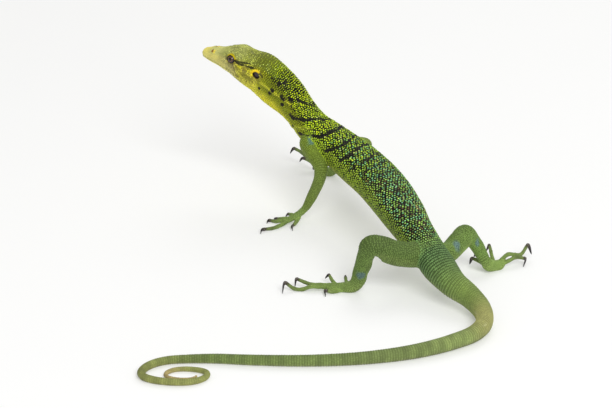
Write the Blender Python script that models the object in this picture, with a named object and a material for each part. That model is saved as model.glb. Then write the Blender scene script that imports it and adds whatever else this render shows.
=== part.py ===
"""Emerald tree monitor, life size: a still lizard standing with its head up and its tail tip coiled on the floor.

The pose is laid out on a bench in millimetres: X to the right, Y away, Z up, floor at Z = 0.
The finished animal is then turned so that its trunk runs along Y with the head towards -Y, and centred.
"""

import math

import bmesh
import bpy
import numpy as np
from mathutils import Matrix

NAME = "emerald_tree_monitor"
MM = 0.001
GAP = 0.3              # clearance between neighbouring pieces
TURN = 150.0           # degrees from the bench to the finished frame
CENTRE = (64.311, 83.393)    # middle of the turned animal's outline, in millimetres

# ------------------------------------------------------------------ head, neck, trunk
SNOUT_TIP = np.array((-70.4, 37.6, 98.5))
OCCIPUT = np.array((-29.7, 18.7, 92.9))     # head axis at the level of the ears, 45 mm behind the tip
HEAD_ROLL = 10.0                            # degrees, crown leaning to the animal's left

# Head sections: distance from the snout tip, half width, height above the axis, depth below it, squareness
HEAD = (
    (0.0, 1.7, 1.3, 1.5, 2.0),
    (1.0, 3.5, 2.5, 3.1, 2.2),
    (3.5, 4.9, 3.3, 3.8, 2.4),
    (8.0, 5.8, 5.1, 5.3, 2.5),
    (14.0, 6.6, 6.4, 6.7, 2.5),
    (18.5, 7.6, 7.6, 8.1, 2.6),
    (24.0, 9.0, 9.2, 9.6, 2.6),
    (29.0, 10.2, 10.6, 12.4, 2.5),
    (35.0, 10.8, 10.6, 15.9, 2.3),
    (40.5, 11.3, 10.5, 17.8, 2.2),
)
# Back of the head to the vent: centre on the bench, half width, above, below, squareness, roll
TRUNK = (
    (-29.7, 18.7, 92.9, 11.6, 10.9, 19.8, 2.1, 10.0),
    (-20.5, 14.6, 86.0, 11.4, 11.8, 19.9, 2.1, 8.0),
    (-11.6, 10.6, 77.0, 11.2, 11.9, 16.8, 2.1, 5.0),
    (-3.9, 6.6, 66.8, 11.0, 10.9, 11.7, 2.1, 3.0),
    (4.5, 0.8, 58.2, 12.1, 10.2, 12.2, 2.1, 1.0),
    (17.0, -11.0, 51.8, 14.9, 11.0, 13.0, 2.1, 0.0),
    (32.6, -30.5, 46.3, 16.7, 11.4, 13.0, 2.1, 0.0),
    (49.3, -58.0, 40.6, 16.6, 11.8, 13.0, 2.1, 0.0),
    (62.0, -90.0, 35.0, 14.8, 11.2, 12.6, 2.1, 0.0),
    (69.2, -111.0, 31.0, 12.4, 10.4, 11.6, 2.1, 0.0),
    (76.9, -131.0, 26.8, 11.0, 9.8, 10.8, 2.1, 0.0),
    (84.6, -147.0, 21.2, 10.7, 9.0, 11.0, 2.1, 0.0),
)
# Tail from its root to where the coil begins
TAIL = (
    (92.0, -157.2, 15.6, 8.9, 8.6, 9.4, 2.0, 0.0),
    (102.0, -166.4, 11.2, 6.9, 7.7, 8.0, 2.0, 0.0),
    (108.8, -178.4, 8.0, 6.0, 6.5, 7.5, 2.0, 0.0),
    (109.0, -193.2, 6.3, 5.4, 5.6, 6.5, 2.0, 0.0),
    (101.8, -205.6, 5.5, 5.1, 5.0, 5.7, 2.0, 0.0),
    (90.4, -214.2, 5.0, 5.1, 4.8, 5.2, 2.0, 0.0),
    (67.5, -225.9, 4.4, 4.7, 4.5, 4.7, 2.0, 0.0),
    (40.0, -233.4, 4.0, 4.2, 4.0, 4.3, 2.0, 0.0),
    (5.0, -236.9, 3.6, 3.8, 3.6, 3.9, 2.0, 0.0),
    (-30.0, -235.8, 3.3, 3.4, 3.3, 3.6, 2.0, 0.0),
    (-58.0, -233.2, 2.9, 3.1, 3.0, 3.2, 2.0, 0.0),
)
COIL_CENTRE = (-73.0, -251.0)
COIL_REACH = (17.5, 24.4, 10.6, 14.8, 6.9, 10.0, 5.0, 8.5)   # far, left, near, right, and so on inwards
COIL_HALF = (2.8, 0.9)                                       # half thickness where the coil begins and at the tip

# ------------------------------------------------------------------ limbs
# Stations from inside the trunk to the wrist or ankle: centre, half width along the hinge, outer side, inner side, squareness
ARM_L = (
    (12.5, -9.5, 51.0, 7.5, 7.2, 7.6, 2.0, 0.0),
    (2.7, -11.7, 51.3, 7.0, 6.9, 7.8, 2.0, 0.0),
    (6.4, -22.5, 46.0, 5.9, 6.0, 6.2, 2.0, 0.0),
    (9.9, -31.6, 39.8, 4.9, 5.1, 5.0, 2.0, 0.0),
    (8.9, -32.8, 32.5, 4.2, 4.2, 4.2, 2.0, 0.0),
    (6.2, -32.0, 25.0, 3.9, 3.9, 3.9, 2.0, 0.0),
    (2.6, -31.2, 16.6, 3.6, 3.4, 3.4, 2.0, 0.0),
    (-0.5, -30.6, 10.6, 3.0, 2.8, 2.8, 2.0, 0.0),
)
ARM_R = (
    (21.0, -8.5, 48.5, 7.5, 7.0, 7.0, 2.0, 0.0),
    (29.5, -2.5, 45.5, 6.6, 6.4, 6.6, 2.0, 0.0),
    (35.6, 9.5, 40.6, 5.7, 5.7, 5.9, 2.0, 0.0),
    (41.0, 20.5, 35.6, 4.8, 4.9, 5.0, 2.0, 0.0),
    (38.8, 29.5, 28.4, 4.4, 4.4, 4.5, 2.0, 0.0),
    (34.0, 36.5, 21.5, 4.2, 4.2, 4.2, 2.0, 0.0),
    (28.6, 42.0, 15.0, 3.6, 3.6, 3.6, 2.0, 0.0),
    (24.4, 45.6, 10.5, 3.0, 2.9, 2.9, 2.0, 0.0),
)
LEG_L = (
    (82.0, -133.0, 26.0, 9.0, 8.5, 8.5, 2.0, 0.0),
    (68.0, -137.0, 27.0, 8.0, 7.6, 9.9, 2.0, 0.0),
    (56.0, -138.8, 29.3, 7.3, 7.2, 9.9, 2.0, 0.0),
    (47.4, -139.2, 31.8, 6.9, 8.3, 8.2, 2.0, 0.0),
    (42.0, -139.2, 30.8, 6.6, 10.0, 4.4, 2.0, 0.0),
    (38.7, -139.2, 26.6, 6.2, 7.0, 4.6, 2.0, 0.0),
    (36.4, -139.1, 21.0, 5.6, 5.7, 5.8, 2.0, 0.0),
    (34.1, -139.0, 14.8, 4.9, 4.9, 5.4, 2.0, 0.0),
    (32.4, -138.7, 10.2, 4.1, 4.0, 6.2, 2.0, 0.0),
)
LEG_R = (
    (80.0, -134.0, 24.5, 8.4, 8.2, 8.2, 2.0, 0.0),
    (90.0, -122.5, 21.8, 7.4, 5.8, 8.0, 2.0, 0.0),
    (97.6, -112.0, 24.4, 6.8, 6.2, 8.2, 2.0, 0.0),
    (103.2, -105.0, 25.2, 6.2, 6.8, 7.4, 2.0, 0.0),
    (107.8, -103.4, 20.6, 5.4, 4.2, 5.6, 2.0, 0.0),
    (111.0, -105.0, 16.2, 4.7, 4.6, 5.0, 2.0, 0.0),
    (113.4, -107.2, 12.4, 4.2, 4.0, 4.7, 2.0, 0.0),
    (115.6, -109.2, 9.4, 3.8, 3.6, 4.4, 2.0, 0.0),
)
# Sole or palm, on from the wrist or ankle to the roots of the digits; its underside is flat on the floor
PALMS = {
    "arm_L": ((-4.0, -30.7, 7.1, 2.9, 2.2, 2.6, 2.2, 0.0), (-7.8, -31.6, 5.0, 3.0, 1.9, 2.2, 2.3, 0.0),
              (-12.0, -33.4, 3.2, 3.2, 1.7, 2.0, 2.3, 0.0), (-15.0, -34.8, 2.6, 2.5, 1.5, 1.6, 2.2, 0.0)),
    "arm_R": ((20.8, 47.6, 6.0, 3.3, 2.9, 3.2, 2.2, 0.0), (16.8, 49.8, 3.7, 4.0, 2.6, 4.5, 2.4, 0.0),
              (12.6, 52.4, 3.2, 3.8, 2.2, 3.8, 2.4, 0.0), (10.4, 54.0, 3.6, 2.6, 1.6, 1.8, 2.2, 0.0)),
    "leg_L": ((29.6, -138.0, 5.9, 3.9, 3.0, 5.8, 2.2, 0.0), (23.8, -136.8, 3.6, 3.6, 2.7, 4.0, 2.4, 0.0),
              (17.5, -136.0, 3.1, 3.6, 2.4, 3.4, 2.4, 0.0), (12.5, -135.6, 3.1, 3.0, 2.0, 2.8, 2.3, 0.0), (10.4, -135.5, 3.2, 2.3, 1.5, 1.7, 2.2, 0.0)),
    "leg_R": ((118.4, -108.4, 5.5, 3.5, 4.0, 4.8, 2.2, 0.0), (122.2, -105.6, 3.8, 3.3, 3.0, 4.2, 2.4, 0.0),
              (126.0, -102.8, 3.7, 3.5, 2.5, 4.1, 2.4, 0.0), (128.2, -101.2, 4.2, 2.6, 1.9, 2.2, 2.2, 0.0)),
}
SPLIT_ARM = 0.40      # share of the whole limb's length at the elbow
SPLIT_LEG = 0.46      # and at the knee
# Digits: root on the bench, heading in degrees, turn at each joint, length, heights of the root and joints,
# half thickness, heading of the claw, reach of the claw, height of its point
DIGITS = {
    "hand_L": {
        1: ((-8.0, -29.6), 127, -3, 6.0, (4.9, 4.3, 3.5), 1.25, 190, 2.4, 1.6),
        2: ((-12.4, -31.0), 156, -4, 7.6, (3.4, 2.4, 1.5), 1.2, 152, 3.0, 0.0),
        3: ((-13.2, -33.2), 175, -10, 11.2, (3.1, 2.3, 1.3, 1.25), 1.4, 223, 3.6, 0.0),
        4: ((-12.6, -34.6), 228, -9, 18.2, (2.7, 2.1, 1.5, 1.2, 1.45), 1.42, 238, 5.8, 0.0),
        5: ((-4.4, -31.2), 241, -2, 8.4, (4.4, 3.0, 1.8, 1.3), 1.32, 267, 6.2, 0.0),
    },
    "hand_R": {
        1: ((15.4, 48.2), 222, 0, 8.4, (3.6, 2.0, 1.05), 1.15, 222, 3.0, 0.0),
        2: ((13.2, 52.0), 176, -6, 7.0, (3.8, 4.6, 4.5), 1.2, 120, 2.4, 1.8),
        3: ((12.4, 53.2), 156, 5, 14.2, (4.0, 5.3, 7.6, 9.6), 1.35, 182, 3.6, 7.0),
        4: ((11.5, 54.0), 145, -4, 25.7, (4.3, 5.0, 8.1, 11.1, 11.8), 1.4, 180, 3.5, 8.0),
        5: ((17.2, 51.6), 76, 0, 10.5, (3.6, 2.2, 1.15), 1.2, 76, 3.2, 0.0),
    },
    "foot_L": {
        1: ((26.2, -135.6), 99, -6, 8.2, (3.8, 4.8, 5.6), 1.25, 115, 2.2, 3.0),
        2: ((19.2, -134.4), 122, -8, 10.0, (3.6, 4.2, 5.0, 5.7), 1.28, 175, 2.9, 3.4),
        3: ((13.6, -134.4), 178, -4, 19.1, (3.3, 3.5, 3.4, 4.6, 6.2), 1.42, 226, 2.7, 1.6),
        4: ((13.0, -136.4), 181, -1, 25.4, (3.0, 3.2, 3.3, 1.35, 1.7, 5.4), 1.45, 238, 4.9, 0.0),
        5: ((23.0, -138.2), 202, -12, 10.0, (2.4, 1.6, 1.3, 2.0), 1.3, 258, 4.8, 0.0),
    },
    "foot_R": {
        1: ((118.4, -105.4), 143, 1, 12.0, (3.4, 3.4, 4.5, 4.9), 1.45, 167, 2.3, 0.6),
        2: ((120.4, -104.2), 146, 0, 11.0, (3.4, 4.4, 5.8, 6.8), 1.25, 143, 2.6, 5.2),
        3: ((122.0, -103.2), 100, -2, 15.0, (4.4, 5.2, 7.7, 9.4), 1.35, 182, 2.3, 5.2),
        4: ((126.4, -101.8), 31, 3, 22.1, (5.4, 8.2, 6.6, 5.2, 10.0), 1.42, 11, 3.3, 3.2),
        5: ((126.4, -104.0), 30, -6, 17.0, (3.4, 4.6, 6.1, 4.6), 1.4, 262, 3.8, 0.0),
    },
}
CLAW_HALF = 1.08       # half depth of a claw at its root

# ------------------------------------------------------------------ face
EYE_AT, EYE_OUT, EYE_UP, EYE_R = 25.2, 6.4, 4.8, 3.2      # from the snout tip, outwards, above the axis, radius
EAR_AT, EAR_OUT, EAR_UP, EAR_R = 45.4, 11.5, 0.2, 2.9
MOUTH_END, MOUTH_FRONT, MOUTH_BACK = 35.0, -0.6, -6.0      # length of the mouth, its height at the tip and at the corner
BROW_RISE, NOSTRIL_RISE = 2.3, 0.3


# ================================================================== smooth routes and sections
def unit(v):
    v = np.asarray(v, float)
    return v / np.linalg.norm(v, axis=-1, keepdims=True)


class Route:
    """A smooth line through stations. Each station is x, y, z followed by its sizes, which vary as smoothly."""

    def __init__(self, rows):
        self.p = np.array(rows, float)
        step = np.linalg.norm(np.diff(self.p[:, :3], axis=0), axis=1)
        self.s = np.concatenate([[0.0], np.cumsum(step)])
        self.length = self.s[-1]
        slope = np.diff(self.p, axis=0) / step[:, None]
        self.m = np.vstack([slope[:1], (slope[1:] * step[:-1, None] + slope[:-1] * step[1:, None]) / (step[:-1] + step[1:])[:, None], slope[-1:]])

    def at(self, s):
        s = np.clip(np.atleast_1d(np.asarray(s, float)), 0.0, self.length)
        i = np.clip(np.searchsorted(self.s, s, side="right") - 1, 0, len(self.s) - 2)
        h = self.s[i + 1] - self.s[i]
        t = ((s - self.s[i]) / h)[:, None]
        h = h[:, None]
        return ((2 * t**3 - 3 * t**2 + 1) * self.p[i] + (t**3 - 2 * t**2 + t) * h * self.m[i]
                + (3 * t**2 - 2 * t**3) * self.p[i + 1] + (t**3 - t**2) * h * self.m[i + 1])

    def heading(self, s):
        s = np.atleast_1d(np.asarray(s, float))
        lo, hi = np.clip(s - 0.25, 0, self.length), np.clip(s + 0.25, 0, self.length)
        return unit(self.at(hi)[:, :3] - self.at(lo)[:, :3])


def frame_at(route, s):
    """Centre, side and up vectors, and sizes at lengths s along a route. The side is level, but follows the hinge axis on a limb."""
    row = route.at(s)
    t = route.heading(s)
    if isinstance(route, Limb):
        hinge = route.hinge(s)
        side = unit(hinge - (t * hinge).sum(1, keepdims=True) * t)
    else:
        side = unit(np.cross(t, (0.0, 0.0, 1.0)))
    up = np.cross(side, t)
    roll = np.radians(row[:, 7:8])
    side, up = side * np.cos(roll) - up * np.sin(roll), up * np.cos(roll) + side * np.sin(roll)
    return row[:, :3], side, up, row[:, 3:7]


def sections(route, s, sides, grow=0.0, relief=None, floor=True):
    """Rings of points round a route: squared-off ovals, flattened where they meet the floor."""
    s = np.atleast_1d(np.asarray(s, float))
    centre, side, up, size = frame_at(route, s)
    a = 2 * np.pi * (np.arange(sides) + 0.5) / sides
    c, d = np.cos(a)[None, :], np.sin(a)[None, :]
    q = 2.0 / size[:, 3:4]
    x = (size[:, 0:1] + grow) * np.sign(c) * np.abs(c) ** q
    y = np.where(d > 0, size[:, 1:2] + grow, size[:, 2:3] + grow) * np.sign(d) * np.abs(d) ** q
    if relief is not None:
        dx, dy = relief(s[:, None], a[None, :])
        x, y = x + dx, y + dy
    p = centre[:, None] + x[..., None] * side[:, None] + y[..., None] * up[:, None]
    if floor:
        p[..., 2] = np.maximum(p[..., 2], 0.0)
    return p


def bump(x, middle, width):
    return np.exp(-(((x - middle) / width) ** 2))


def head_relief(s, a):
    """Brow ridges over the eyes and low swellings at the nostrils, left and right alike."""
    up = np.sin(a)
    across = np.sign(np.cos(a))
    brow = BROW_RISE * bump(s, EYE_AT - 0.6, 5.6) * bump(np.abs(up), 0.74, 0.38) * (up > 0)
    nose = NOSTRIL_RISE * bump(s, 5.2, 2.4) * bump(np.abs(up), 0.62, 0.35) * (up > 0)
    cheek = 0.5 * bump(s, 31.0, 6.0) * bump(up, -0.1, 0.5)
    return across * (0.5 * brow + 0.8 * nose + cheek), 0.9 * brow + 0.5 * nose


def head_rows():
    axis = unit(OCCIPUT - SNOUT_TIP)
    return [tuple(SNOUT_TIP + axis * d) + (w, u, n, q, HEAD_ROLL) for d, w, u, n, q in HEAD]


def coil_rows():
    """Quarter ellipses about one centre, each drawn in towards it, with the tail thinning to its tip."""
    rows, quarters = [], len(COIL_REACH) - 1
    for k in range(quarters):
        for j in range(4 if k < quarters - 1 else 5):
            a = math.pi / 2 * (k + 1 + j / 4)
            rx, ry = (COIL_REACH[k + 1], COIL_REACH[k]) if k % 2 == 0 else (COIL_REACH[k], COIL_REACH[k + 1])
            share = (k + j / 4) / quarters
            half = COIL_HALF[0] + (COIL_HALF[1] - COIL_HALF[0]) * share
            rows.append((COIL_CENTRE[0] + rx * math.cos(a), COIL_CENTRE[1] + ry * math.sin(a), half * 0.94, half, half, half * 1.02, 2.0, 0.0))
    return rows


BODY = Route(head_rows() + list(TRUNK) + list(TAIL) + coil_rows())


class Limb(Route):
    """A limb from inside the trunk to the roots of its digits. Its section turns from the plane of the elbow or knee to the level of the sole."""

    def __init__(self, rows, sole, share):
        super().__init__(tuple(rows) + tuple(sole))
        self.joint = self.length * share
        self.ankle = self.s[len(rows) - 1]
        top, joint, end = self.at(self.ankle * 0.14)[0, :3], self.at(self.joint)[0, :3], self.at(self.ankle)[0, :3]
        self.axis = unit(np.cross(end - joint, joint - top))
        toward = self.p[-1, :3] - self.p[len(rows), :3]
        self.level = unit(np.cross(toward, (0.0, 0.0, 1.0)))

    def hinge(self, s):
        t = np.clip((np.atleast_1d(s) - self.joint) / (self.ankle + 5.0 - self.joint), 0.0, 1.0)
        t = (t * t * (3 - 2 * t))[:, None]
        return unit((1 - t) * self.axis + t * self.level)


LIMBS = {"arm_L": Limb(ARM_L, PALMS["arm_L"], SPLIT_ARM), "arm_R": Limb(ARM_R, PALMS["arm_R"], SPLIT_ARM),
         "leg_L": Limb(LEG_L, PALMS["leg_L"], SPLIT_LEG), "leg_R": Limb(LEG_R, PALMS["leg_R"], SPLIT_LEG)}


def digit_rows(spec):
    """Joints of one digit, walked out from its root, swelling a little at each joint, with a rounded end."""
    (x, y), heading, turn, length, lifts, half, _, _, _ = spec
    step = length / (len(lifts) - 1)
    rows = [(x, y, lifts[0], half * 1.12, half * 1.1, half * 1.1, 2.0, 0.0)]
    for k, z in enumerate(lifts[1:]):
        a = math.radians(heading + turn * k)
        x, y = x + step * math.cos(a), y + step * math.sin(a)
        share = (k + 1) / (len(lifts) - 1)
        r = half * (1.08 - 0.2 * share)
        rows.append((x, y, z, r, r * 1.05, r, 2.0, 0.0))
    return rows


def claw_rows(spec):
    """A hooked claw: it leaves along the last joint and curls down to its point."""
    rows = digit_rows(spec)
    end, before = np.array(rows[-1][:3]), np.array(rows[-2][:3])
    out = unit(end - before)
    _, _, _, _, _, half, heading, reach, point = spec
    a = math.radians(heading)
    tip = np.array((end[0] + reach * math.cos(a), end[1] + reach * math.sin(a), point))
    start, pull = end + out * GAP, 0.52 * max(reach, 2.8)
    leave, arrive = start + out * pull, tip + pull * unit(np.array((-0.45 * math.cos(a), -0.45 * math.sin(a), 1.0)))
    rows = []
    for t in (0.0, 0.03, 0.2, 0.4, 0.6, 0.8, 1.0):
        curve = (1 - t) ** 3 * start + 3 * t * (1 - t) ** 2 * leave + 3 * t * t * (1 - t) * arrive + t**3 * tip
        p = start + out * 0.3 if t == 0.03 else curve      # square to the digit where it leaves it
        r = CLAW_HALF * half / 1.35 * (1 - t**1.5) ** 0.85 + 0.16
        rows.append(tuple(p) + (r * 0.72, r, r * 1.15, 2.0, 0.0))
    return rows


# ================================================================== meshes
def place():
    """Bench millimetres to the finished frame in metres."""
    return Matrix.Translation((-CENTRE[0] * MM, -CENTRE[1] * MM, 0)) @ Matrix.Rotation(math.radians(TURN), 4, "Z") @ Matrix.Scale(MM, 4)


def clear_scene():
    for o in list(bpy.data.objects):
        bpy.data.objects.remove(o)
    for c in list(bpy.data.collections):
        bpy.data.collections.remove(c)


def collection(name):
    c = bpy.data.collections.new(name)
    bpy.context.scene.collection.children.link(c)
    return c


def finish(bm, name, home, smooth=True):
    bmesh.ops.recalc_face_normals(bm, faces=bm.faces)
    mesh = bpy.data.meshes.new(name)
    bm.to_mesh(mesh)
    bm.free()
    mesh.transform(place())
    if smooth:
        mesh.shade_smooth()
        mesh.set_sharp_from_angle(angle=math.radians(50))
    o = bpy.data.objects.new(name, mesh)
    home.objects.link(o)
    return o


def loft(name, rings, home):
    """A closed solid through rings of equal count, closed by a flat face at each end."""
    bm = bmesh.new()
    rows = [[bm.verts.new(p) for p in ring] for ring in rings]
    n = len(rows[0])
    for a, b in zip(rows, rows[1:]):
        for k in range(n):
            bm.faces.new((a[k], a[(k + 1) % n], b[(k + 1) % n], b[k]))
    bm.faces.new(rows[0][::-1])
    bm.faces.new(rows[-1])
    return finish(bm, name, home)


def spaced(lo, hi, step):
    return np.linspace(lo, hi, max(2, int(round((hi - lo) / step)) + 1))


def material(name, colour, roughness, metallic=0.0):
    m = bpy.data.materials.new(name)
    m.use_nodes = True
    shader = m.node_tree.nodes["Principled BSDF"]
    shader.inputs["Base Color"].default_value = (*colour, 1.0)
    shader.inputs["Roughness"].default_value = roughness
    shader.inputs["Metallic"].default_value = metallic
    return m


def boolean(target, cutter, operation="DIFFERENCE"):
    m = target.modifiers.new(f"{operation.lower()}_{cutter.name}", "BOOLEAN")
    m.operation = operation
    m.solver = "EXACT"
    m.object = cutter
    return m


def tool(o):
    o.hide_render = True
    o.display_type = "WIRE"
    return o


def head_frame():
    """The head's own directions: towards the nape, to its left and up."""
    _, side, up, _ = frame_at(BODY, [EYE_AT])
    return unit(OCCIPUT - SNOUT_TIP), side[0], up[0]


def on_head(along, out, up):
    """A point given from the snout tip: along the head axis, outwards to the animal's left, and up."""
    axis, side, rise = head_frame()
    return SNOUT_TIP + axis * along + side * out + rise * up


def ball(name, centre, radius, home, segments=12, squash=None):
    bm = bmesh.new()
    bmesh.ops.create_uvsphere(bm, u_segments=segments, v_segments=segments // 2, radius=1.0)
    axis, side, up = head_frame()
    turn = Matrix((side, axis, up)).transposed().to_4x4()
    size = squash or (1.0, 1.0, 1.0)
    bmesh.ops.transform(bm, verts=bm.verts, matrix=Matrix.Translation(centre) @ turn @ Matrix.Diagonal((radius * size[0], radius * size[1], radius * size[2], 1.0)))
    return finish(bm, name, home)


def mouth_block(name, grow, home):
    """The space of the lower jaw: below the line of the mouth and in front of its corner."""
    bm = bmesh.new()
    bmesh.ops.create_cube(bm, size=1.0)
    axis, side, up = head_frame()
    fall = (MOUTH_BACK - MOUTH_FRONT) / MOUTH_END
    run = unit(axis + up * fall)
    rise = unit(np.cross(side, run))
    rise = rise if rise @ up > 0 else -rise
    front = on_head(-6.0, 0.0, MOUTH_FRONT - fall * 6.0)
    back = on_head(MOUTH_END, 0.0, MOUTH_BACK)
    length = np.linalg.norm(back - front) + grow
    middle = front + run * length / 2 - rise * (15.0 - grow)
    frame = Matrix((run, side, rise)).transposed().to_4x4()
    bmesh.ops.transform(bm, verts=bm.verts, matrix=Matrix.Translation(middle) @ frame @ Matrix.Diagonal((length, 40.0, 30.0, 1.0)))
    return tool(finish(bm, name, home, smooth=False))


def arc_at(row):
    """Length along the body at which a station of the table stands."""
    return BODY.s[int(np.argmin(np.linalg.norm(BODY.p[:, :3] - np.array(row[:3]), axis=1)))]


def build():
    clear_scene()
    home, tools = collection(NAME), collection(NAME + "_cutters")
    skin = {
        "head": material("skin_head", (0.20, 0.28, 0.04), 0.5),
        "neck": material("skin_neck", (0.22, 0.33, 0.01), 0.5),
        "trunk": material("skin_trunk", (0.06, 0.18, 0.02), 0.5),
        "tail": material("skin_tail", (0.12, 0.19, 0.03), 0.5),
        "limb": material("skin_limb", (0.08, 0.20, 0.02), 0.5),
    }
    horn = material("claw", (0.02, 0.015, 0.012), 0.35)
    iris = material("eye", (0.09, 0.03, 0.015), 0.1)
    drum = material("eardrum", (0.03, 0.015, 0.02), 0.4)
    made = {}

    def keep(o, m):
        o.data.materials.clear()
        o.data.materials.append(m)
        made[o.name] = o
        return o

    half = GAP / 2
    ear_s = arc_at(TRUNK[0])
    neck_end, chest_end, trunk_end = arc_at(TRUNK[4]), arc_at(TRUNK[7]), arc_at(TRUNK[11])

    # head and lower jaw, parted along the mouth
    head_s = np.concatenate([[0.0, 0.4, 1.0, 2.2], spaced(4.2, ear_s + 5.0 - half, 3.2)])
    head = keep(loft("head", sections(BODY, head_s, 20, relief=head_relief), home), skin["head"])
    jaw = keep(loft("jaw", sections(BODY, head_s, 20, relief=head_relief), home), skin["head"])
    boolean(head, mouth_block("mouth_space", GAP, tools))
    boolean(jaw, mouth_block("jaw_space", 0.0, tools), "INTERSECT")
    for tag, sign in (("L", 1), ("R", -1)):
        centre = on_head(EYE_AT, sign * EYE_OUT, EYE_UP)
        keep(ball(f"eye_{tag}", centre, EYE_R, home), iris)
        boolean(head, tool(ball(f"socket_{tag}", centre, EYE_R + GAP, tools)))
        centre = on_head(EAR_AT, sign * EAR_OUT, EAR_UP)
        keep(ball(f"ear_{tag}", on_head(EAR_AT, sign * (EAR_OUT - 1.3), EAR_UP), EAR_R * 0.74, home, 8, (0.34, 1.0, 1.0)), drum)
        boolean(head, tool(ball(f"ear_space_{tag}", centre, EAR_R, tools, 12, (0.95, 1.0, 1.0))))

    def length_of(name, lo, hi, step, sides, m):
        keep(loft(name, sections(BODY, spaced(lo + half, hi - half, step), sides), home), m)

    head_end = ear_s + 5.0
    length_of("neck", head_end, neck_end, 5.4, 20, skin["neck"])
    length_of("trunk_front", neck_end, chest_end, 7.0, 20, skin["trunk"])
    length_of("trunk_rear", chest_end, trunk_end, 8.5, 20, skin["trunk"])
    cuts = [trunk_end, arc_at(TAIL[3]), arc_at(TAIL[6]), arc_at(TAIL[8]), arc_at(TAIL[10])]
    coil = arc_at(TAIL[10])
    cuts += [coil + (BODY.length - coil) * 0.42]
    for k, (lo, hi, step, sides) in enumerate(zip(cuts, cuts[1:], (6.5, 6.5, 11.5, 11.5, 4.8), (16, 12, 12, 12, 12))):
        length_of(f"tail_{k + 1}", lo, hi, step, sides, skin["tail"])
    end_s = np.concatenate([spaced(cuts[-1] + half, BODY.length - 0.6, 3.0), [BODY.length - 0.25, BODY.length]])
    end = sections(BODY, end_s, 8)
    for ring, share in ((end[-2], 0.72), (end[-1], 0.3)):
        ring[:] = ring.mean(0) + (ring - ring.mean(0)) * share
        ring[:, 2] = np.maximum(ring[:, 2], 0.02)
    keep(loft("tail_6", end, home), skin["tail"])

    # limbs: one smooth tube each, parted at the elbow or knee and at the wrist or ankle
    for limb, upper, lower, foot in (("arm_L", "upper_arm_L", "forearm_L", "hand_L"), ("arm_R", "upper_arm_R", "forearm_R", "hand_R"),
                                     ("leg_L", "thigh_L", "shin_L", "foot_L"), ("leg_R", "thigh_R", "shin_R", "foot_R")):
        route = LIMBS[limb]
        a = keep(loft(upper, sections(route, spaced(0.0, route.joint - half, 4.6), 12), home), skin["limb"])
        keep(loft(lower, sections(route, spaced(route.joint + half, route.ankle - half, 4.4), 12), home), skin["limb"])
        lo, hi = (neck_end - 16.0, chest_end) if limb.startswith("arm") else (chest_end + 18.0, trunk_end + 12.0)
        boolean(a, tool(loft(f"trunk_space_{limb}", sections(BODY, spaced(lo, hi, 6.0), 20, grow=GAP + 0.1), tools)))
        steps = np.concatenate([spaced(route.ankle + half, route.length - 0.5, 3.4), [route.length]])
        f = keep(loft(foot, sections(route, steps, 12), home), skin["limb"])
        for d, spec in DIGITS[foot].items():
            toe = Route(digit_rows(spec))
            steps = np.concatenate([spaced(0.0, toe.length - 0.5, 3.2), [toe.length]])
            rings = sections(toe, steps, 6)
            rings[-1] = rings[-1].mean(0) + (rings[-1] - rings[-1].mean(0)) * 0.78
            boolean(f, tool(loft(f"{foot}_digit_{d}", rings, tools)), "UNION")
            claw = Route(claw_rows(spec))
            keep(loft(f"claw_{foot}_{d}", sections(claw, spaced(0.0, claw.length, claw.length / 4), 5), home), horn)
    return made


if __name__ == "__main__":
    build()
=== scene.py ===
import math

import bmesh
import bpy
import numpy as np
from mathutils import Matrix, Vector
from mathutils.bvhtree import BVHTree
from mathutils.kdtree import KDTree


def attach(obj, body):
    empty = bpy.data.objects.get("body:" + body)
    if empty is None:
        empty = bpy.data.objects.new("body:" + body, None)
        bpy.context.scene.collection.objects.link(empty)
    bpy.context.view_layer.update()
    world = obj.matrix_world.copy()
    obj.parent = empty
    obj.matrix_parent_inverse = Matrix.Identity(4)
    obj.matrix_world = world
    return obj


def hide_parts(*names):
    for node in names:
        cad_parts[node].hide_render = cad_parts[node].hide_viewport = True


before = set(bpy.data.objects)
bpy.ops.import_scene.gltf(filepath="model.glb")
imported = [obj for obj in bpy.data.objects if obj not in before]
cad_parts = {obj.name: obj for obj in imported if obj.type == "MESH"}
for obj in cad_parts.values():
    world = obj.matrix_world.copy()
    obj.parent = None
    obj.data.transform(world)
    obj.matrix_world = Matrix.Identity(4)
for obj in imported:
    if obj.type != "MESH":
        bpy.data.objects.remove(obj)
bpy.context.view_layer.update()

RNG = np.random.default_rng(7)
MM = 0.001
GAP = 0.3
TURN = 150.0
CENTRE = (64.311, 83.393)

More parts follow.
